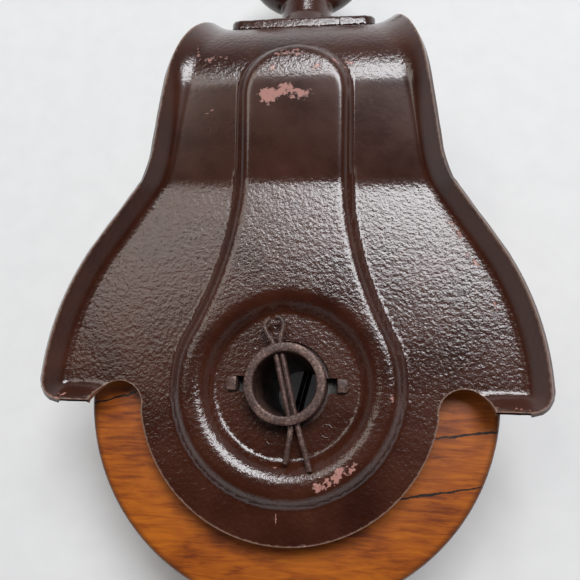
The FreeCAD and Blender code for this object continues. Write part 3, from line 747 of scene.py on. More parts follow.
@dataclass
class PressedShell:
    """One pressed strap: two cheeks with flared wings, joined over the crown."""

    thickness: float = 2.0
    cheek_face: float = 30.0
    cheek_radius: float = 54.0
    lip: float = -7.6
    corner_radius: float = 7.0
    corner_across: float = 81.9
    bow_radius: float = 100.0
    slope: float = 32.5
    slope_length: float = 22.4
    waist_radius: float = 47.0
    neck_lean: float = 8.5
    crown_bow_start: float = 120.0
    crown_bow_radius: float = 127.0
    crown_centre: float = 122.0
    crown_radius: float = 38.0
    crease: float = 76.0
    crease_radius: float = 8.0
    panel_height: float = 4.5
    panel_ring: float = 42.0
    panel_half: float = 22.5
    panel_waist: float = 140.0
    panel_top: float = 110.0
    panel_slope: float = 5.6
    dish: float = 26.4
    dish_run: float = 8.4
    rim_height: float = 5.9
    rim_fillet: float = 3.2
    crown_rim_height: float = 2.6
    crown_rim_fillet: float = 16.0
    relief: tuple[float, float] = (61.85, -9.0)
    relief_radius: float = 9.0
    hole_radius: float = 15.69
    notch_reach: float = 19.69
    notch_width: float = 5.5
    shank_hole: float = 6.8
    shank_drill: float = 12.0
    lip_start: float = 70.5
    flare_lead: float = 22.0
    flare_settle: float = 8.0
    panel_shift: float = 0.2
    wear_reach: float = 1.2
    neck_fade: float = 4.0
    crown_fade: float = 5.0
    rim_fade: float = 1.5
    neck_calm: float = 0.9
    rim_calm: float = 0.7
    least_grain: float = 0.08
    weld_wire: float = 0.3
    weld_sink: float = 0.17
    chips: tuple[PaintChip, ...] = (
        PaintChip(-9.5, 29.0, 6.5, 5.0, 0, 0.66),
        PaintChip(-4.0, 31.0, 9.0, 3.8, 12, 0.63),
        PaintChip(3.0, 29.5, 7.0, 4.0, 0, 0.58),
        PaintChip(-2.0, 46.0, 13.0, 3.2, 0, 0.53),
        PaintChip(-8.5, 39.5, 3.4, 2.0, 70, 0.6),
        PaintChip(8.5, 39.5, 3.4, 2.4, -40, 0.6),
        PaintChip(20.0, 43.0, 14.0, 4.0, -5, 0.49),
        PaintChip(13.5, -113.5, 5.0, 3.2, 20, 0.64),
        PaintChip(18.5, -110.0, 6.5, 3.2, 40, 0.64),
        PaintChip(24.0, -107.0, 4.5, 2.0, 30, 0.56),
        PaintChip(-3.0, -108.3, 1.1, 1.1, 0, 0.75),
        PaintChip(31.1, -60.5, 1.4, 3.0, 0, 0.62),
        PaintChip(37.0, -84.0, 2.2, 5.0, 0, 0.5),
        PaintChip(60.5, -22.0, 2.0, 9.0, 32, 0.56),
        PaintChip(66.5, -34.0, 2.0, 8.0, 30, 0.58),
        PaintChip(73.0, -49.0, 2.0, 8.0, 24, 0.54),
        PaintChip(9.7, -132.9, 8.0, 1.6, 6, 0.56),
        PaintChip(-82.9, -86.6, 6.0, 2.4, 10, 0.5),
        PaintChip(79.8, -86.4, 7.0, 1.8, -5, 0.5),
        PaintChip(-39.6, 51.0, 0.8, 6.0, 18, 0.66),
        PaintChip(-34.0, 25.5, 7.0, 0.7, 22, 0.62),
        PaintChip(-38.0, 10.0, 4.5, 0.7, 30, 0.6),
        PaintChip(-34.0, 47.0, 12.0, 6.0, 0, 0.49),
        PaintChip(-2.0, -125.0, 0.6, 4.0, 0, 0.6),
    )
    weld_marks: tuple[tuple[float, float], ...] = ((14.5, -15.6), (-4.7, -18.5))
    weld_radius: float = 2.2
    centre_columns: int = 20
    middle_columns: int = 20
    wing_columns: int = 9
    rim_columns: int = 11
    foot_rows: int = 38
    centre_half: float = 26.0
    rim_band: float = 8.5
    snap: float = 0.62
    ring_share: float = 0.579
    edge_tree: KDTree = field(init=False, repr=False)
    outline: list[Vector] = field(init=False, repr=False)

    def __post_init__(self) -> None:
        """Work out the side line's turning points and the outline's distance tree."""
        drop = self.crown_centre - self.crease
        distance = math.hypot(drop, self.cheek_face)
        self.lean = math.asin(self.crown_radius / distance) - math.atan2(self.cheek_face, drop)
        setback = self.crease_radius * math.tan(self.lean / 2)
        self.bend_start = self.crease - setback - self.lip
        self.bend_end = self.bend_start + self.crease_radius * self.lean
        touch = math.sqrt(distance**2 - self.crown_radius**2)
        self.touch = self.bend_end + touch - setback
        self.apex = self.touch + self.crown_radius * (math.pi / 2 + self.lean)
        self.outline = self.trace_outline()
        self.edge_tree = KDTree(len(self.outline))
        for number, point in enumerate(self.outline):
            self.edge_tree.insert(point, number)
        self.edge_tree.balance()

    def strap(self, run: float) -> tuple[Vector, Vector]:
        """Point and outward normal of the side line, in along and up.

        Args:
            run: Length along the strap from the lip, negative towards the foot.

        Returns:
            The point and the normal, each as (0, along, up).
        """
        if run > self.apex:
            point, normal = self.strap(2 * self.apex - run)
            return Vector((0, point.y, -point.z)), Vector((0, normal.y, -normal.z))
        if run < self.bend_start:
            return Vector((0, self.lip + run, self.cheek_face)), Vector((0, 0, 1))
        if run < self.bend_end:
            turn = (run - self.bend_start) / self.crease_radius
            centre = Vector((0, self.lip + self.bend_start, self.cheek_face + self.crease_radius))
            normal = Vector((0, -math.sin(turn), math.cos(turn)))
            return centre - normal * self.crease_radius, normal
        if run < self.touch:
            start, normal = self.strap(self.bend_end - 1e-6)
            ahead = Vector((0, math.cos(self.lean), math.sin(self.lean)))
            return start + ahead * (run - self.bend_end), normal
        turn = (run - self.touch) / self.crown_radius - self.lean
        normal = Vector((0, math.sin(turn), math.cos(turn)))
        return Vector((0, self.crown_centre, 0)) + normal * self.crown_radius, normal

    def half_width(self, along: float) -> float:
        """Half the width of the shell at a level along it."""
        slope, neck = math.radians(self.slope), math.radians(self.neck_lean)
        corner = self.lip + self.corner_radius
        if along < corner:
            drop = min(self.corner_radius, corner - along)
            return self.corner_across + math.sqrt(self.corner_radius**2 - drop**2)
        bow_across = self.corner_across + self.corner_radius - self.bow_radius
        bow_top = corner + self.bow_radius * math.sin(slope)
        if along < bow_top:
            return bow_across + math.sqrt(self.bow_radius**2 - (along - corner) ** 2)
        edge = bow_across + self.bow_radius * math.cos(slope)
        slope_top = bow_top + self.slope_length * math.cos(slope)
        if along < slope_top:
            return edge - (along - bow_top) * math.tan(slope)
        edge -= self.slope_length * math.sin(slope)
        waist_along = slope_top + self.waist_radius * math.sin(slope)
        waist_across = edge + self.waist_radius * math.cos(slope)
        neck_start = waist_along - self.waist_radius * math.sin(neck)
        if along < neck_start:
            return waist_across - math.sqrt(self.waist_radius**2 - (along - waist_along) ** 2)
        edge = waist_across - self.waist_radius * math.cos(neck)
        if along < self.crown_bow_start:
            return edge - (along - neck_start) * math.tan(neck)
        edge -= (self.crown_bow_start - neck_start) * math.tan(neck)
        bow = self.crown_bow_radius
        lean = math.asin(min(1.0, math.sin(neck) + (along - self.crown_bow_start) / bow))
        return edge - bow * (math.cos(neck) - math.cos(lean))

    def trace_outline(self) -> list[Vector]:
        """Right-hand outline as points in (across, run), from the lip over the crown and back."""
        step = 0.2
        lip_count = round((self.corner_across - self.lip_start) / step)
        front = [Vector((self.lip_start + number * step, 0, 0)) for number in range(lip_count + 1)]
        quarter = [math.radians(4.5 * number) for number in range(1, 20)]
        for turn in quarter:
            across = self.corner_across + self.corner_radius * math.sin(turn)
            front.append(Vector((across, self.corner_radius * (1 - math.cos(turn)), 0)))
        count = round((self.apex - self.corner_radius) / step)
        for number in range(count + 1):
            run = self.corner_radius + (self.apex - self.corner_radius) * number / count
            front.append(Vector((self.half_width(self.strap(run)[0].y), run, 0)))
        return front + [Vector((point.x, 2 * self.apex - point.y, 0)) for point in reversed(front)]

    def panel_inset(self, across: float, along: float) -> float:
        """Distance inside the raised panel's outline, negative outside it."""
        side = abs(across)
        waist_across = self.panel_half + self.panel_waist
        waist_along = math.sqrt((self.panel_ring + self.panel_waist) ** 2 - waist_across**2)
        if along >= self.panel_top:
            return self.panel_half - math.hypot(side, along - self.panel_top)
        if along >= waist_along:
            return self.panel_half - side
        if along * waist_across > side * waist_along:
            return math.hypot(side - waist_across, along - waist_along) - self.panel_waist
        return self.panel_ring - math.hypot(side, along)

    def rim_rise(self, across: float, run: float) -> float:
        """Height of the curled rim at a place: crisp along the wings, a wide low flare at the crown."""
        front_run = min(run, 2 * self.apex - run)
        reach = self.apex - self.touch - self.flare_settle
        flare = smoothstep((front_run - self.touch + self.flare_lead) / reach)
        top = self.rim_height + flare * (self.crown_rim_height - self.rim_height)
        fillet = self.rim_fillet + flare * (self.crown_rim_fillet - self.rim_fillet)
        _, _, distance = self.edge_tree.find(Vector((abs(across), run, 0)))
        if distance <= top - fillet / 2:
            return top - distance
        return max(0.0, top + fillet / 2 - distance) ** 2 / (2 * fillet)

    def height(self, across: float, along: float, run: float) -> float:
        """Height of the outer face above the strap's side line."""
        radius = math.hypot(across, along)
        step = rounded_step((self.panel_inset(across, along) + self.panel_shift) / self.panel_slope)
        dish = rounded_step((radius - self.dish) / self.dish_run)
        return self.panel_height * step * dish + self.rim_rise(across, run)

    def crisp_distances(self, across: float, run: float) -> tuple[float, float]:
        """Distances from the panel's edge and from the dish's edge."""
        along = self.strap(run)[0].y
        return self.panel_inset(across, along) + self.panel_shift, math.hypot(across, along) - self.dish

    def settled(self, across: float, run: float) -> tuple[float, float]:
        """Move a place onto the panel's edge or the dish's edge when it is near, to keep the edge crisp.

        Args:
            across: Place across.
            run: Run of the place along the strap.

        Returns:
            Across and run of the settled place.
        """
        probe = 0.01
        for number in range(2):
            distance = self.crisp_distances(across, run)[number]
            if abs(distance) > self.snap:
                continue
            slope_across = self.crisp_distances(across + probe, run)[number] - distance
            slope_run = self.crisp_distances(across, run + probe)[number] - distance
            steepness = (slope_across**2 + slope_run**2) / probe
            if steepness > 0:
                across -= distance * slope_across / steepness
                run -= distance * slope_run / steepness
        return across, run

    def rows(self) -> list[float]:
        """Run of each row above the lip, up to the crown and down the other side."""
        stretches = ((8.0, 0.8), (54.0, 1.3), (113.0, 2.4), (143.0, 1.3), (self.apex, 2.4))
        runs = [0.0]
        for end, step in stretches:
            start = runs[-1]
            count = round((end - start) / step)
            runs.extend(start + (end - start) * number / count for number in range(1, count + 1))
        return runs + [2 * self.apex - run for run in reversed(runs[:-1])]

    def columns(self, width: float) -> list[float]:
        """Across place of each column in the right half of a row, from the middle out."""
        ring = self.centre_half + (width - self.rim_band - self.centre_half) * self.ring_share
        stretches = (
            (self.centre_half, self.centre_columns),
            (ring, self.middle_columns),
            (width - self.rim_band, self.wing_columns),
            (width, self.rim_columns),
        )
        places = [0.0]
        for end, count in stretches:
            start = places[-1]
            places.extend(start + (end - start) * number / count for number in range(1, count + 1))
        return places

    def foot_point(self, share: float, depth: float) -> tuple[float, float]:
        """Place in a cheek's round foot.

        Args:
            share: Place across, from -1 to 1.
            depth: Place down, from 0 at the lip to 1 at the bottom.

        Returns:
            Across and along.
        """
        half = math.sqrt(self.cheek_radius**2 - self.lip**2)
        across = share * math.sqrt(1 - depth**2 / 2)
        down = depth * math.sqrt(1 - share**2 / 2)
        chord = math.sqrt(max(1e-12, 1 - across**2))
        bottom = math.sqrt(self.cheek_radius**2 - (half * across) ** 2) + self.lip
        return half * across, self.lip - down * bottom / chord

    def sheet(self) -> tuple[bpy.types.Object, list[Vector]]:
        """Lay the outer face out as a grid and raise it to its pressed height.

        Returns:
            The open sheet and each vertex's way in through the metal.
        """
        runs = self.rows()
        half_count = len(self.columns(self.corner_across)) - 1
        foot_half = self.centre_columns + self.middle_columns
        across_count = 2 * half_count + 1
        row_count = len(runs) + 2 * self.foot_rows
        clear_selection()
        bpy.ops.mesh.primitive_grid_add(
            x_subdivisions=across_count - 1, y_subdivisions=row_count - 1, size=2.0
        )
        item = newest("pressed_shell")
        inward = []
        outside = []
        lip_columns = self.columns(self.half_width(self.lip))
        for number, vertex in enumerate(item.data.vertices):
            row, column = divmod(number, across_count)
            offset = column - half_count
            sign = 1 if offset >= 0 else -1
            foot_depth = max(self.foot_rows - row, row - self.foot_rows - len(runs) + 1)
            if foot_depth > 0:
                outside.append(abs(offset) > foot_half)
                share = lip_columns[min(abs(offset), foot_half)] / lip_columns[foot_half]
                across, along = self.foot_point(sign * share, foot_depth / self.foot_rows)
                run = along - self.lip
                if row > self.foot_rows:
                    run = 2 * self.apex - run
            else:
                outside.append(False)
                run = runs[row - self.foot_rows]
                along = self.strap(run)[0].y
                across = sign * self.columns(self.half_width(along))[abs(offset)]
            front = run <= self.apex
            across, settled_run = self.settled(across, run if front else 2 * self.apex - run)
            run = settled_run if front else 2 * self.apex - settled_run
            point, normal = self.strap(run)
            along = point.y
            place = point + normal * self.height(across, along, run)
            vertex.co = BLOCK.place(across, place.y, place.z)
            inward.append(-normal)
        item.data.update()
        flat_in = [way.copy() for way in inward]
        for number, vertex in enumerate(item.data.vertices):
            _, run = self.unrolled(vertex.co)
            curl = min(1.0, self.rim_rise(vertex.co.x / MM, run) / 2)
            inward[number] = flat_in[number].lerp(-vertex.normal, curl).normalized()
        self.drop_vertices(item, outside)
        return item, [way for way, out in zip(inward, outside) if not out]

    def unrolled(self, place: Vector) -> tuple[float, float]:
        """Across and run of a place near the shell, found from its along and up."""
        along = place.y / MM - BLOCK.axle_along
        up = place.z / MM - BLOCK.axle_up
        turn = math.atan2(along - self.crown_centre, abs(up))
        if turn > -self.lean:
            run = self.touch + (turn + self.lean) * self.crown_radius
        else:
            run = min(along - self.lip, self.touch)
        return place.x / MM, run if up >= 0 else 2 * self.apex - run

    @staticmethod
    def drop_vertices(item: bpy.types.Object, marks: Sequence[bool]) -> None:
        """Delete the marked vertices."""
        mesh = item.data
        mesh.polygons.foreach_set("select", [False] * len(mesh.polygons))
        mesh.edges.foreach_set("select", [False] * len(mesh.edges))
        mesh.vertices.foreach_set("select", marks)
        select_only(item)
        bpy.ops.object.mode_set(mode="EDIT")
        bpy.context.tool_settings.mesh_select_mode = (True, False, False)
        bpy.ops.mesh.delete(type="VERT")
        bpy.ops.object.mode_set(mode="OBJECT")

    def wear(self, place: Vector) -> float:
        """How worn the paint is near a cut edge, from 0 to 1."""
        across, run = self.unrolled(place)
        _, _, distance = self.edge_tree.find(Vector((abs(across), run, 0)))
        along = place.y / MM - BLOCK.axle_along
        if run < 0 or run > 2 * self.apex:
            distance = min(distance, abs(self.cheek_radius - math.hypot(across, along)))
        relief = math.hypot(abs(across) - self.relief[0], along - self.relief[1])
        distance = min(distance, abs(relief - self.relief_radius))
        return max(0.0, 1 - distance / self.wear_reach)

    def chipping(self, place: Vector) -> float:
        """How far the paint has chipped to the primer, from 0 to 1."""
        if place.z < BLOCK.axle_up * MM:
            return 0.0
        return max(chip.bareness(place.x / MM, place.y / MM) for chip in self.chips)

    def coarseness(self, place: Vector) -> float:
        """How grainy the paint is: full on the flats and the crown, little on the neck and the rims."""
        across, run = self.unrolled(place)
        front_run = min(run, 2 * self.apex - run)
        neck = smoothstep((front_run - self.bend_start) / self.neck_fade)
        crown = smoothstep((front_run - self.touch) / self.crown_fade)
        rim = smoothstep(self.rim_rise(across, run) / self.rim_fade)
        flat = 1 - self.neck_calm * neck + self.neck_calm * crown
        return max(self.least_grain, flat * (1 - self.rim_calm * rim))

    def weld_rings(self) -> list[bpy.types.Object]:
        """Faint rings that the spot welds left on the floor of each dish."""
        rings = []
        floor = self.cheek_face - self.weld_sink
        for side in Side:
            for across, along in self.weld_marks:
                clear_selection()
                bpy.ops.mesh.primitive_torus_add(
                    major_segments=40,
                    minor_segments=12,
                    major_radius=self.weld_radius * MM,
                    minor_radius=self.weld_wire * MM,
                    location=BLOCK.place(across, along, side.value * floor),
                )
                rings.append(newest("weld_ring"))
        return rings

    def build(self, material: bpy.types.Material) -> bpy.types.Object:
        """Form the shell, punch its openings and paint it.

        Args:
            material: The paint.

        Returns:
            The shell.
        """
        item, inward = self.sheet()
        outer = [vertex.co.copy() for vertex in item.data.vertices]
        apply_modifier(item, "SOLIDIFY", thickness=self.thickness * MM, offset=-1.0)
        for number, way in enumerate(inward):
            item.data.vertices[len(outer) + number].co = outer[number] + way * self.thickness * MM
        item.data.update()
        through = 4 * self.cheek_face
        centre = BLOCK.place(0, 0, 0)
        tools = [rod("axle_hole", self.hole_radius, through, centre, sides=128)]
        for sign in (1, -1):
            spot = BLOCK.place(sign * self.relief[0], self.relief[1], 0)
            tools.append(rod("relief", self.relief_radius, through, spot, sides=96))
        crown = BLOCK.place(0, self.crown_centre + self.crown_radius, 0)
        tools.append(rod("shank_hole", self.shank_hole, self.shank_drill, crown, (90, 0, 0)))
        cut_away(item, join("round_punches", tools))
        clear_selection()
        bpy.ops.mesh.primitive_cube_add(size=1.0, location=centre)
        slot = newest("notch_punch")
        reach = (2 * self.notch_reach, self.notch_width, through)
        slot.data.transform(Matrix.Translation(centre) @ Matrix.Diagonal((*reach, 1 / MM)) * MM
                            @ Matrix.Translation(-centre))
        cut_away(item, slot)
        item = join("pressed_shell", [item, *self.weld_rings()])
        smooth(item, 60)
        paint_attribute(item, "edge", self.wear)
        paint_attribute(item, "chip", self.chipping)
        paint_attribute(item, "coarse", self.coarseness)
        return finish_piece(item, material, Body.FRAME, ["shell"])


# ---------------------------------------------------------------- sheave and axle


@dataclass
class WoodenSheave:
    """Turned hardwood wheel with a round rope groove, bored for its bushing and rivets."""

    radius: float = 76.2
    half_width: float = 20.5
    groove_half: float = 16.0
    groove_depth: float = 14.0
    edge_round: float = 1.5
    bore: float = 17.95
    rivet_circle: float = 24.0
    rivet_radius: float = 2.45
    rivet_count: int = 3
    steps: int = 192

    def profile(self) -> list[tuple[float, float]]:
        """Half section of the wheel, as radius and level."""
        inner = self.radius - self.edge_round
        level = self.half_width - self.edge_round
        sag = (self.groove_half**2 + self.groove_depth**2) / (2 * self.groove_depth)
        centre = (self.radius - self.groove_depth + sag, 0.0)
        half = math.degrees(math.asin(self.groove_half / sag))
        lower = arc((inner, -level), self.edge_round, -90, 0, 5)
        groove = arc(centre, sag, 180 + half, 180 - half, 24)
        upper = arc((inner, level), self.edge_round, 0, 90, 5)
        faces = (60.0, 45.0, 30.0)
        low_face = [(reach, -self.half_width) for reach in reversed(faces)]
        high_face = [(reach, self.half_width) for reach in faces]
        bore = [(self.bore, self.half_width), (self.bore, -self.half_width)]
        return low_face + lower + groove + upper + high_face + bore

    def build(self, material: bpy.types.Material) -> bpy.types.Object:
        """Turn the wheel, bore it and varnish it.

        Args:
            material: The varnished wood.

        Returns:
            The wheel.
        """
        item = turned("wooden_sheave", self.profile(), self.steps)
        drills = []
        for number in range(self.rivet_count):
            turn = math.radians(90 + 360 * number / self.rivet_count)
            spot = BLOCK.place(self.rivet_circle * math.cos(turn), self.rivet_circle * math.sin(turn), 0)
            drills.append(rod("rivet_drill", self.rivet_radius, 60, spot, sides=32))
        cut_away(item, join("rivet_drills", drills))
        smooth(item)
        return finish_piece(item, material, Body.SHEAVE, ["sheave_wheel"])


@dataclass
class TubeAxle:
    """Heavy tube through both cheeks, cross-drilled for a cotter pin near each end."""

    radius: float = 14.29
    bore: float = 11.11
    end: float = 37.75
    edge_round: float = 0.6
    pin_level: float = 34.55
    pin_hole: float = 2.35
    pin_lean: float = 14.0
    steps: int = 128

    def profile(self) -> list[tuple[float, float]]:
        """Half section of the tube with rounded rims."""
        soft = self.edge_round
        corners = (
            ((self.radius - soft, -self.end + soft), -90, 0),
            ((self.radius - soft, self.end - soft), 0, 90),
            ((self.bore + soft, self.end - soft), 90, 180),
            ((self.bore + soft, -self.end + soft), 180, 270),
        )
        points: list[tuple[float, float]] = []
        for centre, first, last in corners:
            points.extend(arc(centre, soft, first, last, 4))
        return points

    def build(self, material: bpy.types.Material) -> bpy.types.Object:
        """Turn the tube and cross-drill it.

        Args:
            material: The rubbed paint.

        Returns:
            The tube.
        """
        item = turned("tube_axle", self.profile(), self.steps)
        for side in Side:
            spot = BLOCK.place(0, 0, side.value * self.pin_level)
            turn = (90, 0, side.value * self.pin_lean)
            cut_away(item, rod("pin_drill", self.pin_hole, 4 * self.radius, spot, turn, 48))
        smooth(item)
        return finish_piece(item, material, Body.AXLE, ["axle_tube"])


@dataclass
class CotterPin:
    """Half-round wire folded on itself: a drop-shaped eye above the tube and two splayed legs.

    Its line is the flat side of the wire, across and along the pin from the axle's centre.
    """

    side: Side
    level: float = 34.55
    lean: float = 14.0
    leg_width: float = 2.0
    eye_width: float = 0.95
    right_eye: tuple[tuple[float, float], ...] = (
        (0.5, 23.9), (2.0, 23.6), (2.8, 22.0), (2.7, 20.2), (1.8, 18.2), (0.8, 16.4), (0.3, 15.0)
    )
    left_eye: tuple[tuple[float, float], ...] = (
        (0.5, 23.9), (-1.0, 23.5), (-2.1, 21.9), (-2.1, 20.1), (-1.5, 18.1), (-0.7, 16.4), (-0.3, 15.0)
    )
    right_leg: tuple[tuple[float, float], ...] = (
        (0.12, 13.4), (0.12, 6.0), (0.12, -6.0), (0.12, -14.6), (0.3, -17.0), (0.62, -22.0), (1.1, -30.4)
    )
    left_leg: tuple[tuple[float, float], ...] = (
        (-0.12, 13.4), (-0.12, 6.0), (-0.12, -6.0), (-0.12, -14.6),
        (-0.7, -16.6), (-2.2, -20.4), (-4.6, -26.2),
    )

    def half(
        self, eye: Sequence[tuple[float, float]], leg: Sequence[tuple[float, float]]
    ) -> bpy.types.Object:
        """Sweep a half-round section along one half of the pin.

        Args:
            eye: Points of the eye, from its top down.
            leg: Points of the leg, from the tube's upper wall to the tip.

        Returns:
            The half, as a mesh.
        """
        points = [*eye, *leg]
        curve = bpy.data.curves.new("pin_line", "CURVE")
        curve.dimensions = "3D"
        curve.resolution_u = 6
        curve.bevel_depth = MM
        curve.bevel_resolution = 5
        curve.use_fill_caps = True
        spline = curve.splines.new("NURBS")
        spline.points.add(len(points) - 1)
        lean = math.radians(self.side.value * self.lean)
        for number, (point, (across, along)) in enumerate(zip(spline.points, points)):
            width = self.eye_width if number < len(eye) else self.leg_width / 2
            outward = width if points[-1][0] > 0 else -width
            turned_across = (across + outward) * self.side.value
            x = turned_across * math.cos(lean) - along * math.sin(lean)
            y = turned_across * math.sin(lean) + along * math.cos(lean)
            place = BLOCK.place(x, y, self.side.value * self.level)
            point.co = (*place, 1.0)
            point.radius = width
        spline.order_u = 3
        spline.use_endpoint_u = True
        item = bpy.data.objects.new("pin_half", curve)
        bpy.context.scene.collection.objects.link(item)
        select_only(item)
        bpy.ops.object.convert(target="MESH")
        return bpy.context.active_object

    def build(self, material: bpy.types.Material) -> bpy.types.Object:
        """Sweep both halves and join them into one pin.

        Args:
            material: The rubbed paint.

        Returns:
            The pin.
        """
        halves = [self.half(self.right_eye, self.right_leg), self.half(self.left_eye, self.left_leg)]
        item = join(f"cotter_{self.side.name.lower()}_wire", halves)
        edit(item, lambda: bpy.ops.mesh.normals_make_consistent(inside=False))
        smooth(item, 50)
        name = f"cotter_pin_{self.side.name.lower()}"
        return finish_piece(item, material, Body.AXLE, [name])


@dataclass
class BearingPlate:
    """Steel disc behind a cheek, with two tabs that come out through it and fold over."""

    side: Side
    radius: float = 24.0
    inner_face: float = 25.0
    thickness: float = 3.0
    bore: float = 14.35
    tab_start: float = 17.99
    tab_reach: float = 22.2
    slot_width: float = 5.5
    tab_width: float = 5.1
    tab_thickness: float = 1.5
    tab_round: float = 0.5
    fold_gap: float = 0.05
    fold_steps: tuple[float, float] = (0.6, 0.4)
    fold_taper: tuple[float, float] = (0.5, 0.7)
    cheek_face: float = 30.0

    def tab(self, hand: int) -> bpy.types.Object:
        """Riser and folded end of one tab, rounded and slightly domed by the hammer.

        Args:
            hand: 1 for the right tab, -1 for the left.

        Returns:
            The tab, with its foot in the disc.
        """
        sign = self.side.value
        low = self.inner_face + self.thickness / 2
        top = self.cheek_face + self.tab_thickness
        middle = BLOCK.place(hand * (self.tab_start + self.tab_thickness / 2), 0, sign * (low + top) / 2)
        clear_selection()
        bpy.ops.mesh.primitive_cube_add(size=1.0, location=middle)
        item = bpy.context.active_object
        item.scale = (self.tab_thickness * MM, self.tab_width * MM, (top - low) * MM)
        item = newest("tab")
        level = BLOCK.place(0, 0, sign * (self.cheek_face + self.fold_gap)).z
        edit(
            item,
            lambda: bpy.ops.mesh.bisect(plane_co=(0, 0, level), plane_no=(0, 0, 1)),
            lambda: bpy.ops.mesh.select_all(action="DESELECT"),
        )
        outer = hand * (self.tab_start + self.tab_thickness) * MM
        for face in item.data.polygons:
            above = sign * (face.center.z - level) > 0
            face.select = above and abs(face.center.x - outer) < 0.01 * MM
        select_only(item)
        reach = hand * (self.tab_reach - self.tab_start - self.tab_thickness)
        bpy.ops.object.mode_set(mode="EDIT")
        bpy.context.tool_settings.mesh_select_mode = (False, False, True)
        for share in self.fold_steps:
            bpy.ops.mesh.extrude_region_move(TRANSFORM_OT_translate={"value": (reach * share * MM, 0, 0)})
        bpy.ops.transform.resize(value=(1, *self.fold_taper), center_override=(outer, middle.y, level))
        bpy.ops.object.mode_set(mode="OBJECT")
        apply_modifier(
            item, "BEVEL", width=self.tab_round * MM, segments=4,
            limit_method="ANGLE", angle_limit=math.radians(30),
        )
        return item

    def build(self, material: bpy.types.Material) -> bpy.types.Object:
        """Turn the disc and join the tabs to it.

        Args:
            material: The rubbed paint.

        Returns:
            The plate.
        """
        low, high = self.inner_face, self.inner_face + self.thickness
        soft = 0.3
        profile = [
            (self.bore, low),
            (self.radius - soft, low),
            (self.radius, low + soft),
            (self.radius, high - soft),
            (self.radius - soft, high),
            (self.bore, high),
        ]
        sign = self.side.value
        name = f"bearing_plate_{self.side.name.lower()}"
        disc = turned(f"{name}_with_tabs", [(reach, sign * level) for reach, level in profile], 96)
        clear_selection()
        bpy.ops.mesh.primitive_cube_add(size=1.0, location=BLOCK.place(0, 0, sign * self.cheek_face))
        slot = bpy.context.active_object
        slot.scale = (2 * self.tab_start * MM, self.slot_width * MM, 4 * self.thickness * MM)
        cut_away(disc, newest("slot"))
        item = join(disc.name, [disc, self.tab(1), self.tab(-1)])
        smooth(item, 50)
        return finish_piece(item, material, Body.FRAME, [name])


# ---------------------------------------------------------------- foot and eye


def softened_copy(name: str, node: str, voxel: float, passes: int) -> bpy.types.Object:
    """Copy a carried piece and soften its edges as a casting.

    Args:
        name: The copy's name.
        node: The CAD node that it copies.
        voxel: Cell size of the remesh in millimetres.
        passes: Smoothing passes.

    Returns:
        The copy.
    """
    source = frame["nodes"][node]
    item = bpy.data.objects.new(name, source.data.copy())
    bpy.context.scene.collection.objects.link(item)
    edit(item, lambda: bpy.ops.mesh.remove_doubles(threshold=0.001 * MM))
    apply_modifier(item, "REMESH", mode="VOXEL", voxel_size=voxel * MM)
    apply_modifier(item, "SMOOTH", factor=0.5, iterations=passes)
    return item


@dataclass
class CastFoot:
    """Winged foot on the crown, with a boss that the eye stands in."""

    crown_centre: float = 122.0
    crown_radius: float = 38.0
    slab_radius: float = 42.9
    disc_radius: float = 20.0
    ear_radius: float = 10.5
    ear_offset: float = 21.5
    ear_corner: float = 6.0
    rivet_half: float = 5.2
    boss_radius: float = 11.75
    boss_top: float = 175.7
    band_depth: float = 2.4
    band_gap: float = 0.05
    fillet_share: float = 0.3
    bore: float = 6.56
    voxel: float = 0.5
    passes: int = 5

    def broadened(self, offset: Vector) -> Vector:
        """Slide a point of the slab round the crown, so the ears are as broad as the middle.

        Args:
            offset: The point from the crown's centre, in millimetres.

        Returns:
            The moved point; the boss and the metal near the rivets stay where they are.
        """
        side, radius = abs(offset.x), math.hypot(offset.y, offset.z)
        end = self.ear_offset + self.ear_radius
        if radius > self.slab_radius or side >= end - 0.2:
            return offset
        ear = math.sqrt(self.ear_radius**2 - max(0.0, side - self.ear_offset) ** 2)
        disc = math.sqrt(max(0.0, self.disc_radius**2 - side**2))
        corner = max(0.0, side - end + self.ear_corner)
        broad = self.disc_radius - self.ear_corner + math.sqrt(self.ear_corner**2 - corner**2)
        held = self.rivet_half if side < self.ear_offset + self.rivet_half else 0.0
        level = abs(offset.z)
        if level <= held:
            return offset
        stretch = (broad - held) / (max(ear, disc) - held)
        moved = min(held + (level - held) * stretch, self.disc_radius)
        return Vector((offset.x, math.sqrt(radius**2 - moved**2), math.copysign(moved, offset.z)))

    def build(self, material: bpy.types.Material) -> bpy.types.Object:
        """Soften the foot as a casting and cut its seat and bore true again.

        Args:
            material: The paint.

        Returns:
            The foot.
        """
        item = softened_copy("cast_foot", "swivel_base", self.voxel, self.passes)
        crown = BLOCK.place(0, self.crown_centre, 0)
        for vertex in item.data.vertices:
            vertex.co = crown + self.broadened((vertex.co - crown) / MM) * MM
            offset = (vertex.co - crown) / MM
            reach = math.hypot(offset.x, offset.z)
            if math.hypot(offset.y, offset.z) > self.slab_radius and reach > self.boss_radius:
                share = (self.boss_radius + (reach - self.boss_radius) * self.fillet_share) / reach
                vertex.co.x = crown.x + offset.x * share * MM
                vertex.co.z = crown.z + offset.z * share * MM
        seat = rod("crown_seat", self.crown_radius, 120, crown, (0, 90, 0), 192)
        bore = rod("boss_bore", self.bore, 160, crown, (90, 0, 0), 64)
        cut_away(item, seat, bore)
        middle = BLOCK.place(0, self.boss_top - self.band_depth / 2 - self.band_gap, 0)
        band = rod("boss_band", self.boss_radius, self.band_depth, middle, (90, 0, 0), 96)
        cut_away(band, rod("band_bore", self.bore, 20, middle, (90, 0, 0), 64))
        item = join("cast_foot", [item, band])
        smooth(item, 45)
        paint_attribute(item, "coarse", lambda place: 0.5)
        return finish_piece(item, material, Body.FRAME, ["swivel_base"])


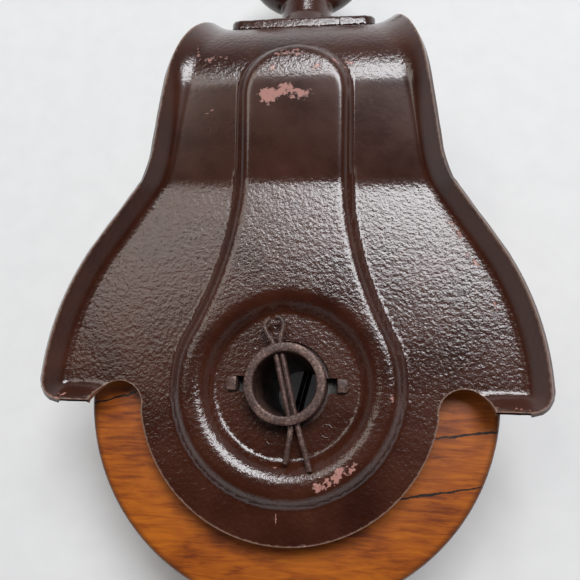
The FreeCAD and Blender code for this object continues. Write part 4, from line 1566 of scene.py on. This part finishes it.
@dataclass
class ForgedEye:
    """Round eye on a shank, standing on the foot's boss."""

    boss_top: float = 175.7
    collar_radius: float = 11.75
    band_depth: float = 2.4
    band_gap: float = 0.05
    voxel: float = 0.5
    passes: int = 5

    def build(self, material: bpy.types.Material) -> bpy.types.Object:
        """Soften ring, collar and shank as one forging, with a crisp end on the collar.

        Args:
            material: The paint.

        Returns:
            The eye.
        """
        item = softened_copy("forged_eye", "swivel_eye", self.voxel, self.passes)
        middle = BLOCK.place(0, self.boss_top + self.band_depth / 2 + self.band_gap, 0)
        band = rod("collar_band", self.collar_radius, self.band_depth, middle, (90, 0, 0), 96)
        item = join("forged_eye", [item, band])
        smooth(item, 45)
        paint_attribute(item, "coarse", lambda place: 0.5)
        return finish_piece(item, material, Body.SWIVEL, ["swivel_eye"])


# ---------------------------------------------------------------- carried pieces


@dataclass(frozen=True)
class CarriedPieces:
    """CAD pieces whose shape is right, which only take a material."""

    steel: tuple[str, ...] = (
        "hub_bushing",
        "hub_plate_front",
        "hub_plate_rear",
        "hub_rivet_1",
        "hub_rivet_2",
        "hub_rivet_3",
        "thrust_washer_front",
        "thrust_washer_rear",
        "swivel_washer",
        "swivel_nut",
    )
    painted: tuple[str, ...] = ("base_rivet_left", "base_rivet_right")

    def dress(self, steel: bpy.types.Material, painted: bpy.types.Material) -> None:
        """Give each carried piece its material.

        Args:
            steel: For the hidden hardware.
            painted: For the foot's rivets.
        """
        for names, material in ((self.steel, steel), (self.painted, painted)):
            for name in names:
                item = frame["nodes"][name]
                item.data.materials.clear()
                item.data.materials.append(material)
                log.info("%s: carried, %s", name, material.name)


# ---------------------------------------------------------------- studio


@dataclass(frozen=True)
class PaleTable:
    """Matt painted board, an even off-white with the faintest mottle."""

    name: str = "matt_painted_board"
    light: str = "#f1f2f1"
    dark: str = "#eeefee"
    mottle: float = 12.0
    roughness: float = 0.7

    def material(self) -> bpy.types.Material:
        """Build the mottle."""
        material, tree, shader = new_material(self.name)
        place = add_node(tree, "ShaderNodeTexCoord").outputs["Object"]
        clouds = add_node(
            tree, "ShaderNodeTexNoise", {"Scale": 1 / (self.mottle * MM), "Detail": 5.0},
            {"Vector": place},
        )
        tones = add_node(
            tree, "ShaderNodeValToRGB", links={"Fac": clouds.outputs["Fac"]},
            stops=((0.35, self.dark), (0.65, self.light)),
        )
        tree.links.new(tones.outputs["Color"], shader.inputs["Base Color"])
        shader.inputs["Roughness"].default_value = self.roughness
        return material


@dataclass(frozen=True)
class SoftLight:
    """One large soft lamp aimed at the block."""

    name: str
    place: tuple[float, float, float]
    size: tuple[float, float]
    power: float
    tint: str = "#ffffff"

    def build(self, target: Vector) -> None:
        """Hang the lamp and aim it at a point."""
        lamp = bpy.data.lights.new(self.name, "AREA")
        lamp.shape = "RECTANGLE"
        lamp.size, lamp.size_y = self.size
        lamp.energy = self.power
        lamp.color = linear(self.tint)[:3]
        item = bpy.data.objects.new(self.name, lamp)
        bpy.context.scene.collection.objects.link(item)
        item.location = self.place
        item.rotation_euler = (target - Vector(self.place)).to_track_quat("-Z", "Y").to_euler()


@dataclass(frozen=True)
class Studio:
    """Pale table, soft lamps and the camera."""

    camera_place: tuple[float, float, float] = (23.9, -94.6, 281.4)
    camera_axes: tuple[tuple[float, float, float], ...] = (
        (0.99375, 0.03403, -0.10634),
        (-0.00841, 0.97253, 0.23266),
        (0.11134, -0.23031, 0.96673),
    )
    lens: float = 35.98
    sensor: float = 36.0
    table_size: float = 6.0
    aim: float = 60.0
    horizon: str = "#eceef1"
    zenith: str = "#26272a"
    sky_strength: float = 0.9
    lamps: tuple[SoftLight, ...] = (
        SoftLight("window_lamp", (0.505, 1.33, 2.6), (1.76, 1.14), 76.0, "#fbfcff"),
        SoftLight("side_glow", (-1.1, 0.92, 2.6), (1.2, 0.95), 10.5, "#fff8f0"),
    )

    def build(self, table: bpy.types.Material) -> None:
        """Set the table, lamps and camera.

        Args:
            table: The table's material.
        """
        clear_selection()
        bpy.ops.mesh.primitive_plane_add(size=self.table_size)
        floor = newest("table")
        floor.data.materials.append(table)
        for lamp in self.lamps:
            lamp.build(BLOCK.place(0, self.aim, 0))
        scene = bpy.context.scene
        world = bpy.data.worlds.new("soft_room")
        world.use_nodes = True
        tree = world.node_tree
        backdrop = tree.nodes["Background"]
        way = add_node(tree, "ShaderNodeTexCoord").outputs["Generated"]
        height = add_node(tree, "ShaderNodeSeparateXYZ", links={"Vector": way}).outputs["Z"]
        sky = add_node(
            tree, "ShaderNodeValToRGB", links={"Fac": height},
            stops=((0.1, self.horizon), (0.65, self.zenith)),
        )
        tree.links.new(sky.outputs["Color"], backdrop.inputs["Color"])
        backdrop.inputs["Strength"].default_value = self.sky_strength
        scene.world = world
        scene.view_settings.view_transform = "Standard"
        camera = bpy.data.cameras.new("camera")
        camera.lens = self.lens
        camera.sensor_width = self.sensor
        camera.clip_start = 0.01
        item = bpy.data.objects.new("camera", camera)
        scene.collection.objects.link(item)
        axes = Matrix([Vector(axis) for axis in self.camera_axes]).transposed()
        item.matrix_world = Matrix.Translation(Vector(self.camera_place) * MM) @ axes.to_4x4()
        scene.camera = item


def main() -> None:
    """Build every piece in order."""
    logging.basicConfig(level=logging.INFO, format="%(name)s: %(message)s")
    enamel = BrushedEnamel().material()
    rubbed = RUBBED_PAINT.material()
    steel = MILL_STEEL.material()
    wood = VarnishedWood().material()
    Studio().build(PaleTable().material())
    PressedShell().build(enamel)
    WoodenSheave().build(wood)
    TubeAxle().build(rubbed)
    for side in Side:
        BearingPlate(side).build(rubbed)
        CotterPin(side).build(rubbed)
    CastFoot().build(enamel)
    ForgedEye().build(enamel)
    CarriedPieces().dress(steel, enamel)


if __name__ == "__main__":
    main()
